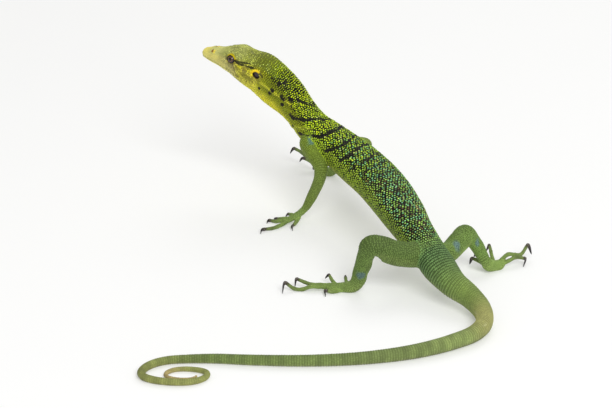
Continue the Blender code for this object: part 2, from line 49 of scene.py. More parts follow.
# ================================================================== the same tables as the solids
SNOUT_TIP = np.array((-70.4, 37.6, 98.5))
OCCIPUT = np.array((-29.7, 18.7, 92.9))
HEAD_ROLL = 10.0
HEAD = (
    (0.0, 1.7, 1.3, 1.5, 2.0),
    (1.0, 3.5, 2.5, 3.1, 2.2),
    (3.5, 4.9, 3.3, 3.8, 2.4),
    (8.0, 5.8, 5.1, 5.3, 2.5),
    (14.0, 6.6, 6.4, 6.7, 2.5),
    (18.5, 7.6, 7.6, 8.1, 2.6),
    (24.0, 9.0, 9.2, 9.6, 2.6),
    (29.0, 10.2, 10.6, 12.4, 2.5),
    (35.0, 10.8, 10.6, 15.9, 2.3),
    (40.5, 11.3, 10.5, 17.8, 2.2),
)
TRUNK = (
    (-29.7, 18.7, 92.9, 11.6, 10.9, 19.8, 2.1, 10.0),
    (-20.5, 14.6, 86.0, 11.4, 11.8, 19.9, 2.1, 8.0),
    (-11.6, 10.6, 77.0, 11.2, 11.9, 16.8, 2.1, 5.0),
    (-3.9, 6.6, 66.8, 11.0, 10.9, 11.7, 2.1, 3.0),
    (4.5, 0.8, 58.2, 12.1, 10.2, 12.2, 2.1, 1.0),
    (17.0, -11.0, 51.8, 14.9, 11.0, 13.0, 2.1, 0.0),
    (32.6, -30.5, 46.3, 16.7, 11.4, 13.0, 2.1, 0.0),
    (49.3, -58.0, 40.6, 16.6, 11.8, 13.0, 2.1, 0.0),
    (62.0, -90.0, 35.0, 14.8, 11.2, 12.6, 2.1, 0.0),
    (69.2, -111.0, 31.0, 12.4, 10.4, 11.6, 2.1, 0.0),
    (76.9, -131.0, 26.8, 11.0, 9.8, 10.8, 2.1, 0.0),
    (84.6, -147.0, 21.2, 10.7, 9.0, 11.0, 2.1, 0.0),
)
TAIL = (
    (92.0, -157.2, 15.6, 8.9, 8.6, 9.4, 2.0, 0.0),
    (102.0, -166.4, 11.2, 6.9, 7.7, 8.0, 2.0, 0.0),
    (108.8, -178.4, 8.0, 6.0, 6.5, 7.5, 2.0, 0.0),
    (109.0, -193.2, 6.3, 5.4, 5.6, 6.5, 2.0, 0.0),
    (101.8, -205.6, 5.5, 5.1, 5.0, 5.7, 2.0, 0.0),
    (90.4, -214.2, 5.0, 5.1, 4.8, 5.2, 2.0, 0.0),
    (67.5, -225.9, 4.4, 4.7, 4.5, 4.7, 2.0, 0.0),
    (40.0, -233.4, 4.0, 4.2, 4.0, 4.3, 2.0, 0.0),
    (5.0, -236.9, 3.6, 3.8, 3.6, 3.9, 2.0, 0.0),
    (-30.0, -235.8, 3.3, 3.4, 3.3, 3.6, 2.0, 0.0),
    (-58.0, -233.2, 2.9, 3.1, 3.0, 3.2, 2.0, 0.0),
)
COIL_CENTRE = (-73.0, -251.0)
COIL_REACH = (17.5, 24.4, 10.6, 14.8, 6.9, 10.0, 5.0, 8.5)
COIL_HALF = (2.8, 0.9)
ARM_L = (
    (12.5, -9.5, 51.0, 7.5, 7.2, 7.6, 2.0, 0.0),
    (2.7, -11.7, 51.3, 7.0, 6.9, 7.8, 2.0, 0.0),
    (6.4, -22.5, 46.0, 5.9, 6.0, 6.2, 2.0, 0.0),
    (9.9, -31.6, 39.8, 4.9, 5.1, 5.0, 2.0, 0.0),
    (8.9, -32.8, 32.5, 4.2, 4.2, 4.2, 2.0, 0.0),
    (6.2, -32.0, 25.0, 3.9, 3.9, 3.9, 2.0, 0.0),
    (2.6, -31.2, 16.6, 3.6, 3.4, 3.4, 2.0, 0.0),
    (-0.5, -30.6, 10.6, 3.0, 2.8, 2.8, 2.0, 0.0),
)
ARM_R = (
    (21.0, -8.5, 48.5, 7.5, 7.0, 7.0, 2.0, 0.0),
    (29.5, -2.5, 45.5, 6.6, 6.4, 6.6, 2.0, 0.0),
    (35.6, 9.5, 40.6, 5.7, 5.7, 5.9, 2.0, 0.0),
    (41.0, 20.5, 35.6, 4.8, 4.9, 5.0, 2.0, 0.0),
    (38.8, 29.5, 28.4, 4.4, 4.4, 4.5, 2.0, 0.0),
    (34.0, 36.5, 21.5, 4.2, 4.2, 4.2, 2.0, 0.0),
    (28.6, 42.0, 15.0, 3.6, 3.6, 3.6, 2.0, 0.0),
    (24.4, 45.6, 10.5, 3.0, 2.9, 2.9, 2.0, 0.0),
)
LEG_L = (
    (82.0, -133.0, 26.0, 9.0, 8.5, 8.5, 2.0, 0.0),
    (68.0, -137.0, 27.0, 8.0, 7.6, 9.9, 2.0, 0.0),
    (56.0, -138.8, 29.3, 7.3, 7.2, 9.9, 2.0, 0.0),
    (47.4, -139.2, 31.8, 6.9, 8.3, 8.2, 2.0, 0.0),
    (42.0, -139.2, 30.8, 6.6, 10.0, 4.4, 2.0, 0.0),
    (38.7, -139.2, 26.6, 6.2, 7.0, 4.6, 2.0, 0.0),
    (36.4, -139.1, 21.0, 5.6, 5.7, 5.8, 2.0, 0.0),
    (34.1, -139.0, 14.8, 4.9, 4.9, 5.4, 2.0, 0.0),
    (32.4, -138.7, 10.2, 4.1, 4.0, 6.2, 2.0, 0.0),
)
LEG_R = (
    (80.0, -134.0, 24.5, 8.4, 8.2, 8.2, 2.0, 0.0),
    (90.0, -122.5, 21.8, 7.4, 5.8, 8.0, 2.0, 0.0),
    (97.6, -112.0, 24.4, 6.8, 6.2, 8.2, 2.0, 0.0),
    (103.2, -105.0, 25.2, 6.2, 6.8, 7.4, 2.0, 0.0),
    (107.8, -103.4, 20.6, 5.4, 4.2, 5.6, 2.0, 0.0),
    (111.0, -105.0, 16.2, 4.7, 4.6, 5.0, 2.0, 0.0),
    (113.4, -107.2, 12.4, 4.2, 4.0, 4.7, 2.0, 0.0),
    (115.6, -109.2, 9.4, 3.8, 3.6, 4.4, 2.0, 0.0),
)
PALMS = {
    "arm_L": ((-4.0, -30.7, 7.1, 2.9, 2.2, 2.6, 2.2, 0.0), (-7.8, -31.6, 5.0, 3.0, 1.9, 2.2, 2.3, 0.0),
              (-12.0, -33.4, 3.2, 3.2, 1.7, 2.0, 2.3, 0.0), (-15.0, -34.8, 2.6, 2.5, 1.5, 1.6, 2.2, 0.0)),
    "arm_R": ((20.8, 47.6, 6.0, 3.3, 2.9, 3.2, 2.2, 0.0), (16.8, 49.8, 3.7, 4.0, 2.6, 4.5, 2.4, 0.0),
              (12.6, 52.4, 3.2, 3.8, 2.2, 3.8, 2.4, 0.0), (10.4, 54.0, 3.6, 2.6, 1.6, 1.8, 2.2, 0.0)),
    "leg_L": ((29.6, -138.0, 5.9, 3.9, 3.0, 5.8, 2.2, 0.0), (23.8, -136.8, 3.6, 3.6, 2.7, 4.0, 2.4, 0.0),
              (17.5, -136.0, 3.1, 3.6, 2.4, 3.4, 2.4, 0.0), (12.5, -135.6, 3.1, 3.0, 2.0, 2.8, 2.3, 0.0), (10.4, -135.5, 3.2, 2.3, 1.5, 1.7, 2.2, 0.0)),
    "leg_R": ((118.4, -108.4, 5.5, 3.5, 4.0, 4.8, 2.2, 0.0), (122.2, -105.6, 3.8, 3.3, 3.0, 4.2, 2.4, 0.0),
              (126.0, -102.8, 3.7, 3.5, 2.5, 4.1, 2.4, 0.0), (128.2, -101.2, 4.2, 2.6, 1.9, 2.2, 2.2, 0.0)),
}
SPLIT_ARM = 0.40
SPLIT_LEG = 0.46
DIGITS = {
    "hand_L": {
        1: ((-8.0, -29.6), 127, -3, 6.0, (4.9, 4.3, 3.5), 1.25, 190, 2.4, 1.6),
        2: ((-12.4, -31.0), 156, -4, 7.6, (3.4, 2.4, 1.5), 1.2, 152, 3.0, 0.0),
        3: ((-13.2, -33.2), 175, -10, 11.2, (3.1, 2.3, 1.3, 1.25), 1.4, 223, 3.6, 0.0),
        4: ((-12.6, -34.6), 228, -9, 18.2, (2.7, 2.1, 1.5, 1.2, 1.45), 1.42, 238, 5.8, 0.0),
        5: ((-4.4, -31.2), 241, -2, 8.4, (4.4, 3.0, 1.8, 1.3), 1.32, 267, 6.2, 0.0),
    },
    "hand_R": {
        1: ((15.4, 48.2), 222, 0, 8.4, (3.6, 2.0, 1.05), 1.15, 222, 3.0, 0.0),
        2: ((13.2, 52.0), 176, -6, 7.0, (3.8, 4.6, 4.5), 1.2, 120, 2.4, 1.8),
        3: ((12.4, 53.2), 156, 5, 14.2, (4.0, 5.3, 7.6, 9.6), 1.35, 182, 3.6, 7.0),
        4: ((11.5, 54.0), 145, -4, 25.7, (4.3, 5.0, 8.1, 11.1, 11.8), 1.4, 180, 3.5, 8.0),
        5: ((17.2, 51.6), 76, 0, 10.5, (3.6, 2.2, 1.15), 1.2, 76, 3.2, 0.0),
    },
    "foot_L": {
        1: ((26.2, -135.6), 99, -6, 8.2, (3.8, 4.8, 5.6), 1.25, 115, 2.2, 3.0),
        2: ((19.2, -134.4), 122, -8, 10.0, (3.6, 4.2, 5.0, 5.7), 1.28, 175, 2.9, 3.4),
        3: ((13.6, -134.4), 178, -4, 19.1, (3.3, 3.5, 3.4, 4.6, 6.2), 1.42, 226, 2.7, 1.6),
        4: ((13.0, -136.4), 181, -1, 25.4, (3.0, 3.2, 3.3, 1.35, 1.7, 5.4), 1.45, 238, 4.9, 0.0),
        5: ((23.0, -138.2), 202, -12, 10.0, (2.4, 1.6, 1.3, 2.0), 1.3, 258, 4.8, 0.0),
    },
    "foot_R": {
        1: ((118.4, -105.4), 143, 1, 12.0, (3.4, 3.4, 4.5, 4.9), 1.45, 167, 2.3, 0.6),
        2: ((120.4, -104.2), 146, 0, 11.0, (3.4, 4.4, 5.8, 6.8), 1.25, 143, 2.6, 5.2),
        3: ((122.0, -103.2), 100, -2, 15.0, (4.4, 5.2, 7.7, 9.4), 1.35, 182, 2.3, 5.2),
        4: ((126.4, -101.8), 31, 3, 22.1, (5.4, 8.2, 6.6, 5.2, 10.0), 1.42, 11, 3.3, 3.2),
        5: ((126.4, -104.0), 30, -6, 17.0, (3.4, 4.6, 6.1, 4.6), 1.4, 262, 3.8, 0.0),
    },
}
CLAW_HALF = 1.08
EYE_AT, EYE_OUT, EYE_UP, EYE_R = 25.2, 6.4, 4.8, 3.2
EAR_AT, EAR_OUT, EAR_UP, EAR_R = 45.4, 11.5, 0.2, 2.9
MOUTH_END, MOUTH_FRONT, MOUTH_BACK = 35.0, -0.6, -6.0
BROW_RISE, NOSTRIL_RISE = 2.3, 0.3

# ------------------------------------------------------------------ what only the looks need
COAT_DEPTH = 0.34          # how far the skin lies inside the solids
VOXEL = 0.45               # fineness of the skin, halved again on the head
NOSTRIL = (8.7, 3.9, 4.5)  # along, out, up


# ================================================================== routes and sections, as in the solids
def unit(v):
    v = np.asarray(v, float)
    return v / np.linalg.norm(v, axis=-1, keepdims=True)


class Route:
    def __init__(self, rows):
        self.p = np.array(rows, float)
        step = np.linalg.norm(np.diff(self.p[:, :3], axis=0), axis=1)
        self.s = np.concatenate([[0.0], np.cumsum(step)])
        self.length = self.s[-1]
        slope = np.diff(self.p, axis=0) / step[:, None]
        self.m = np.vstack([slope[:1], (slope[1:] * step[:-1, None] + slope[:-1] * step[1:, None]) / (step[:-1] + step[1:])[:, None], slope[-1:]])

    def at(self, s):
        s = np.clip(np.atleast_1d(np.asarray(s, float)), 0.0, self.length)
        i = np.clip(np.searchsorted(self.s, s, side="right") - 1, 0, len(self.s) - 2)
        h = self.s[i + 1] - self.s[i]
        t = ((s - self.s[i]) / h)[:, None]
        h = h[:, None]
        return ((2 * t**3 - 3 * t**2 + 1) * self.p[i] + (t**3 - 2 * t**2 + t) * h * self.m[i]
                + (3 * t**2 - 2 * t**3) * self.p[i + 1] + (t**3 - t**2) * h * self.m[i + 1])

    def heading(self, s):
        s = np.atleast_1d(np.asarray(s, float))
        lo, hi = np.clip(s - 0.25, 0, self.length), np.clip(s + 0.25, 0, self.length)
        return unit(self.at(hi)[:, :3] - self.at(lo)[:, :3])


class Limb(Route):
    def __init__(self, rows, sole, share):
        super().__init__(tuple(rows) + tuple(sole))
        self.joint = self.length * share
        self.ankle = self.s[len(rows) - 1]
        top, joint, end = self.at(self.ankle * 0.14)[0, :3], self.at(self.joint)[0, :3], self.at(self.ankle)[0, :3]
        self.axis = unit(np.cross(end - joint, joint - top))
        toward = self.p[-1, :3] - self.p[len(rows), :3]
        self.level = unit(np.cross(toward, (0.0, 0.0, 1.0)))

    def hinge(self, s):
        t = np.clip((np.atleast_1d(s) - self.joint) / (self.ankle + 5.0 - self.joint), 0.0, 1.0)
        t = (t * t * (3 - 2 * t))[:, None]
        return unit((1 - t) * self.axis + t * self.level)


def frame_at(route, s):
    row = route.at(s)
    t = route.heading(s)
    if isinstance(route, Limb):
        hinge = route.hinge(s)
        side = unit(hinge - (t * hinge).sum(1, keepdims=True) * t)
    else:
        side = unit(np.cross(t, (0.0, 0.0, 1.0)))
    up = np.cross(side, t)
    roll = np.radians(row[:, 7:8])
    side, up = side * np.cos(roll) - up * np.sin(roll), up * np.cos(roll) + side * np.sin(roll)
    return row[:, :3], side, up, row[:, 3:7], t


def bump(x, middle, width):
    return np.exp(-(((x - middle) / width) ** 2))


def step(x, lo, hi):
    """Smooth rise from 0 at lo to 1 at hi."""
    t = np.clip((x - lo) / (hi - lo), 0.0, 1.0)
    return t * t * (3 - 2 * t)


def head_relief(s, a):
    up = np.sin(a)
    across = np.sign(np.cos(a))
    brow = BROW_RISE * bump(s, EYE_AT - 0.6, 5.6) * bump(np.abs(up), 0.74, 0.38) * (up > 0)
    nose = NOSTRIL_RISE * bump(s, 5.2, 2.4) * bump(np.abs(up), 0.62, 0.35) * (up > 0)
    cheek = 0.5 * bump(s, 31.0, 6.0) * bump(up, -0.1, 0.5)
    return across * (0.5 * brow + 0.8 * nose + cheek), 0.9 * brow + 0.5 * nose


def points_at(route, s, a, grow=0.0, relief=False):
    """Surface points for lengths s and angles a, one for each pair."""
    centre, side, up, size, _ = frame_at(route, s)
    c, d = np.cos(a), np.sin(a)
    q = 2.0 / size[:, 3]
    x = (size[:, 0] + grow) * np.sign(c) * np.abs(c) ** q
    y = np.where(d > 0, size[:, 1] + grow, size[:, 2] + grow) * np.sign(d) * np.abs(d) ** q
    if relief:
        dx, dy = head_relief(s, a)
        x, y = x + dx, y + dy
    p = centre + x[:, None] * side + y[:, None] * up
    p[:, 2] = np.maximum(p[:, 2], 0.0)
    return p


def rings_of(route, s, sides, grow=0.0, relief=False):
    s = np.atleast_1d(np.asarray(s, float))
    a = 2 * np.pi * (np.arange(sides) + 0.5) / sides
    return points_at(route, np.repeat(s, sides), np.tile(a, len(s)), grow, relief).reshape(len(s), sides, 3)


def head_rows():
    axis = unit(OCCIPUT - SNOUT_TIP)
    return [tuple(SNOUT_TIP + axis * d) + (w, u, n, q, HEAD_ROLL) for d, w, u, n, q in HEAD]


def coil_rows():
    rows, quarters = [], len(COIL_REACH) - 1
    for k in range(quarters):
        for j in range(4 if k < quarters - 1 else 5):
            a = math.pi / 2 * (k + 1 + j / 4)
            rx, ry = (COIL_REACH[k + 1], COIL_REACH[k]) if k % 2 == 0 else (COIL_REACH[k], COIL_REACH[k + 1])
            share = (k + j / 4) / quarters
            half = COIL_HALF[0] + (COIL_HALF[1] - COIL_HALF[0]) * share
            rows.append((COIL_CENTRE[0] + rx * math.cos(a), COIL_CENTRE[1] + ry * math.sin(a), half * 0.94, half, half, half * 1.02, 2.0, 0.0))
    return rows


def digit_rows(spec):
    (x, y), heading, turn, length, lifts, half, _, _, _ = spec
    pace = length / (len(lifts) - 1)
    rows = [(x, y, lifts[0], half * 1.12, half * 1.1, half * 1.1, 2.0, 0.0)]
    for k, z in enumerate(lifts[1:]):
        a = math.radians(heading + turn * k)
        x, y = x + pace * math.cos(a), y + pace * math.sin(a)
        share = (k + 1) / (len(lifts) - 1)
        r = half * (1.08 - 0.2 * share)
        rows.append((x, y, z, r, r * 1.05, r, 2.0, 0.0))
    return rows


def claw_rows(spec):
    rows = digit_rows(spec)
    end, before = np.array(rows[-1][:3]), np.array(rows[-2][:3])
    out = unit(end - before)
    _, _, _, _, _, half, heading, reach, point = spec
    a = math.radians(heading)
    tip = np.array((end[0] + reach * math.cos(a), end[1] + reach * math.sin(a), point))
    start, pull = end + out * GAP, 0.52 * max(reach, 2.8)
    leave, arrive = start + out * pull, tip + pull * unit(np.array((-0.45 * math.cos(a), -0.45 * math.sin(a), 1.0)))
    rows = []
    for t in np.linspace(0.0, 1.0, 11):
        p = (1 - t) ** 3 * start + 3 * t * (1 - t) ** 2 * leave + 3 * t * t * (1 - t) * arrive + t**3 * tip
        r = CLAW_HALF * half / 1.35 * (1 - t**1.5) ** 0.85 + 0.12
        rows.append(tuple(p) + (r * 0.68, r, r * 1.1, 2.0, 0.0))
    return rows


BODY = Route(head_rows() + list(TRUNK) + list(TAIL) + coil_rows())
LIMBS = {"arm_L": Limb(ARM_L, PALMS["arm_L"], SPLIT_ARM), "arm_R": Limb(ARM_R, PALMS["arm_R"], SPLIT_ARM),
         "leg_L": Limb(LEG_L, PALMS["leg_L"], SPLIT_LEG), "leg_R": Limb(LEG_R, PALMS["leg_R"], SPLIT_LEG)}
ROUTES = [BODY] + list(LIMBS.values())
ROUTE_NAMES = ["body"] + list(LIMBS)
for foot, digits in DIGITS.items():
    for d, spec in digits.items():
        ROUTES.append(Route(digit_rows(spec)))
        ROUTE_NAMES.append(f"{foot}_{d}")
BODY_ID, FIRST_LIMB, FIRST_DIGIT = 0, 1, 5


def arc_at(row):
    return BODY.s[int(np.argmin(np.linalg.norm(BODY.p[:, :3] - np.array(row[:3]), axis=1)))]


EAR_S, VENT_S = arc_at(TRUNK[0]), arc_at(TRUNK[11])
_, _side, _up, _, _ = frame_at(BODY, [EYE_AT])
AXIS, SIDE, UP = unit(OCCIPUT - SNOUT_TIP), _side[0], _up[0]


def on_head(along, out, up):
    return SNOUT_TIP + AXIS * along + SIDE * out + UP * up


def head_coords(p):
    d = p - SNOUT_TIP
    return d @ AXIS, d @ SIDE, d @ UP


def place():
    return Matrix.Translation((-CENTRE[0] * MM, -CENTRE[1] * MM, 0)) @ Matrix.Rotation(math.radians(TURN), 4, "Z") @ Matrix.Scale(MM, 4)


PLACE = np.array(place())


def placed(p):
    q = np.asarray(p) @ PLACE[:3, :3].T + PLACE[:3, 3]
    q[:, 2] = np.maximum(q[:, 2], 0.0)
    return q


# ================================================================== camera
EYE_LEVEL = math.radians(24.0)
DISTANCE = 1600.0
FOCAL = 2320.0           # in pixels of a picture 612 wide


def make_camera():
    data = bpy.data.cameras.new("camera")
    data.sensor_fit, data.sensor_width, data.lens = "HORIZONTAL", 36.0, FOCAL / 612.0 * 36.0
    data.clip_start, data.clip_end = 0.1, 20.0
    cam = bpy.data.objects.new("camera", data)
    bpy.context.scene.collection.objects.link(cam)
    ahead = Vector((0.0, math.cos(EYE_LEVEL), -math.sin(EYE_LEVEL)))
    above = Vector((0.0, math.sin(EYE_LEVEL), math.cos(EYE_LEVEL)))
    turn = Matrix((Vector((1, 0, 0)), above, -ahead)).transposed().to_4x4()
    spin = Matrix.Rotation(math.radians(TURN), 4, "Z")
    where = place() @ Vector(-ahead * DISTANCE)
    cam.matrix_world = Matrix.Translation(where) @ spin @ turn
    bpy.context.scene.camera = cam


# ================================================================== mesh helpers
def tube(rings):
    """Vertices and outward faces of a closed tube through rings."""
    k, n = rings.shape[:2]
    i = np.arange(k - 1)[:, None] * n + np.arange(n)[None]
    j = np.arange(k - 1)[:, None] * n + (np.arange(n)[None] + 1) % n
    quads = np.stack([i, i + n, j + n, j], -1).reshape(-1, 4)
    verts = np.vstack([rings.reshape(-1, 3), rings[0].mean(0)[None], rings[-1].mean(0)[None]])
    a, b = np.arange(n), (np.arange(n) + 1) % n
    first = np.stack([np.full(n, k * n), a, b], -1)
    last = np.stack([np.full(n, k * n + 1), (k - 1) * n + b, (k - 1) * n + a], -1)
    return verts, [*quads.tolist(), *first.tolist(), *last.tolist()]


def new_mesh(name, verts, faces):
    mesh = bpy.data.meshes.new(name)
    mesh.from_pydata(np.asarray(verts).tolist(), [], faces)
    mesh.update()
    return mesh


def new_object(name, mesh):
    o = bpy.data.objects.new(name, mesh)
    bpy.context.scene.collection.objects.link(o)
    return o


def read(items, name, width, kind=float):
    out = np.empty(len(items) * width, dtype=np.float32 if kind is float else np.int32)
    items.foreach_get(name, out)
    return (out.astype(float) if kind is float else out).reshape(-1, width) if width > 1 else out


def normals_of(co, tris):
    n = np.cross(co[tris[:, 1]] - co[tris[:, 0]], co[tris[:, 2]] - co[tris[:, 0]])
    out = np.zeros_like(co)
    for k in range(3):
        for c in range(3):
            out[:, c] += np.bincount(tris[:, k], n[:, c], len(co))
    return out / np.maximum(np.linalg.norm(out, axis=1, keepdims=True), 1e-12)


class Net:
    """Neighbours of each vertex, for smoothing."""

    def __init__(self, edges, count):
        self.e, self.n = edges, count
        self.deg = np.maximum(np.bincount(edges.ravel(), minlength=count), 1)

    def mean(self, x):
        out = np.empty_like(x)
        for c in range(x.shape[1]):
            out[:, c] = np.bincount(self.e[:, 0], x[self.e[:, 1], c], self.n) + np.bincount(self.e[:, 1], x[self.e[:, 0], c], self.n)
        return out / self.deg[:, None]

    def smooth(self, co, times, weight=1.0, shrink=False):
        w = weight if np.isscalar(weight) else weight[:, None]
        for _ in range(times):
            co = co + 0.5 * w * (self.mean(co) - co)
            if not shrink:
                co = co - 0.52 * w * (self.mean(co) - co)
        return co

    def spread(self, w, rings, fall):
        for _ in range(rings):
            far = np.zeros_like(w)
            np.maximum.at(far, self.e[:, 0], w[self.e[:, 1]])
            np.maximum.at(far, self.e[:, 1], w[self.e[:, 0]])
            w = np.maximum(w, far * fall)
        return w


# ================================================================== the skin's own coordinates
def skin_grow(k):
    return -0.14 if k >= FIRST_DIGIT else -COAT_DEPTH


class Chart:
    """Tells which route a point belongs to, and its length and angle along it."""

    def __init__(self):
        rid, s, a, p = [], [], [], []
        for k, route in enumerate(ROUTES):
            pace, sides = (1.2, 40) if k == 0 else (1.2, 20) if k < FIRST_DIGIT else (0.9, 10)
            ss = np.arange(0.0, route.length + 0.01, pace)
            aa = 2 * np.pi * (np.arange(sides) + 0.5) / sides
            ss, aa = np.repeat(ss, sides), np.tile(aa, len(ss))
            p.append(points_at(route, ss, aa, skin_grow(k), k == 0))
            rid.append(np.full(len(ss), k))
            s.append(ss)
        self.rid, self.s, pts = np.concatenate(rid), np.concatenate(s), np.concatenate(p)
        self.tree = KDTree(len(pts))
        for i, q in enumerate(pts.tolist()):
            self.tree.insert(q, i)
        self.tree.balance()

    def __call__(self, p):
        find = self.tree.find
        hit = np.array([find(q)[1] for q in p.tolist()])
        rid, s, a = self.rid[hit], self.s[hit].copy(), np.zeros(len(p))
        for k in np.unique(rid):
            m = rid == k
            route = ROUTES[k]
            for _ in range(2):
                centre, side, up, size, t = frame_at(route, s[m])
                s[m] = np.clip(s[m] + ((p[m] - centre) * t).sum(1), 0.0, route.length)
            centre, side, up, size, t = frame_at(route, s[m])
            d = p[m] - centre
            x, y = (d * side).sum(1) / size[:, 0], (d * up).sum(1)
            y = y / np.where(y > 0, size[:, 1], size[:, 2])
            q = size[:, 3] / 2
            a[m] = np.arctan2(np.sign(y) * np.abs(y) ** q, np.sign(x) * np.abs(x) ** q)
        return rid, s, a % (2 * np.pi)


# ================================================================== markings, shared by the skin and its scales
WAVES = RNG.normal(size=(4, 10, 3))
PHASES = RNG.uniform(0, 2 * np.pi, size=(4, 10))


def drift(p, size, kind=0):
    """A smooth field between about -1 and 1 that changes over distances of about size millimetres."""
    w = p @ (WAVES[kind].T / size) * 2.2 + PHASES[kind]
    return np.sin(w).mean(1) * 2.2


def rgb(*c):
    return np.array(c, float) / 255.0


def mix(a, b, t):
    t = np.asarray(t)[..., None]
    return a * (1 - t) + b * t


def near_line(s, f, line, girth=10.0):
    """Distance in millimetres from a line drawn through points given as length and degrees."""
    best = np.full(len(s), 1e9)
    x, y = s, np.radians(f) * girth
    pts = [(q[0], math.radians(q[1]) * girth) for q in line]
    for (x0, y0), (x1, y1) in zip(pts, pts[1:]):
        dx, dy = x1 - x0, y1 - y0
        t = np.clip(((x - x0) * dx + (y - y0) * dy) / (dx * dx + dy * dy), 0, 1)
        best = np.minimum(best, np.hypot(x - x0 - t * dx, y - y0 - t * dy))
    return best


# Cross bands: where each runs, as degrees round the body (0 left side, 90 back, 180 right side) and length; half width; strength
BANDS = (
    (((-4, 83.5), (9, 87.9), (33, 93.3), (66, 98.4), (92, 104.0), (118, 106.0), (150, 97.0), (180, 87.0)), 1.15, 1.0),
    (((-24, 95.5), (7, 105.3), (33, 114.6), (60, 117.9), (88, 118.5), (126, 115.2), (150, 109.0), (190, 98.0)), 1.25, 1.0),
    (((9, 126.5), (16, 128.1), (42, 133.2), (62, 135.3), (90, 133.4), (132, 127.8), (168, 120.0)), 0.95, 0.95),
    (((18, 144.5), (26, 145.5), (54, 147.6), (86, 145.2), (138, 139.5), (166, 135.0)), 0.85, 0.9),
    (((18, 158.0), (62, 160.2), (90, 158.4), (126, 153.3), (160, 148.0)), 0.8, 0.75),
    (((38, 170.8), (78, 170.4), (122, 164.4), (156, 160.0)), 0.7, 0.65),
)
FADED_ROWS = (181.0, 192.5, 204.0, 216.0, 228.0)      # weaker rows behind the last band
SPOTS = (  # on the side of the neck: length, degrees above the side, half length, half height
    (61.5, 36, 0.9, 1.0), (63.6, 49, 0.9, 1.0), (61.5, 2, 1.3, 0.75), (61.5, -10, 1.2, 0.7), (70.2, 9, 1.9, 0.8), (74.1, 30, 1.7, 1.1),
    (73.8, -6, 1.2, 0.8), (84.6, -2, 2.2, 0.9), (54.0, -20, 0.8, 0.6), (56.0, 34, 0.6, 0.5), (78.0, 51, 1.7, 0.8), (90.0, -24, 1.2, 0.7),
)


def band_strength(s, psi):
    out = np.zeros(len(s))
    for line, half, strength in BANDS:
        ang, at = np.array([q[0] for q in line], float), np.array([q[1] for q in line], float)
        inside = step(psi, ang[0] - 4, ang[0] + 6) * (1 - step(psi, ang[-1] - 6, ang[-1] + 4))
        wide = half * (1.45 - 0.4 * step(np.abs(psi - 40), 20, 70))
        out = np.maximum(out, strength * inside * (1 - step(np.abs(s - np.interp(psi, ang, at)), wide * 0.75, wide * 1.35)))
    for k, at in enumerate(FADED_ROWS):
        mid = at - 0.075 * (psi - 70)
        inside = step(psi, 26, 46) * (1 - step(psi, 134, 156))
        out = np.maximum(out, (0.55 - 0.07 * k) * inside * (1 - step(np.abs(s - mid), 0.5, 1.1)))
    dots = near_line(s, psi, ((77.7, 51), (83.4, 76), (88.8, 98), (84.0, 120), (78.0, 132)), 10.5)
    out = np.maximum(out, 0.85 * (1 - step(dots, 0.5, 1.0)))
    return out


def spot_strength(s, f):
    out = np.zeros(len(s))
    for at, high, rx, ry in SPOTS:
        d = np.hypot((s - at) / rx, np.radians(f - high) * 11.0 / ry)
        out = np.maximum(out, 1 - step(d, 1.0, 1.5))
    return out


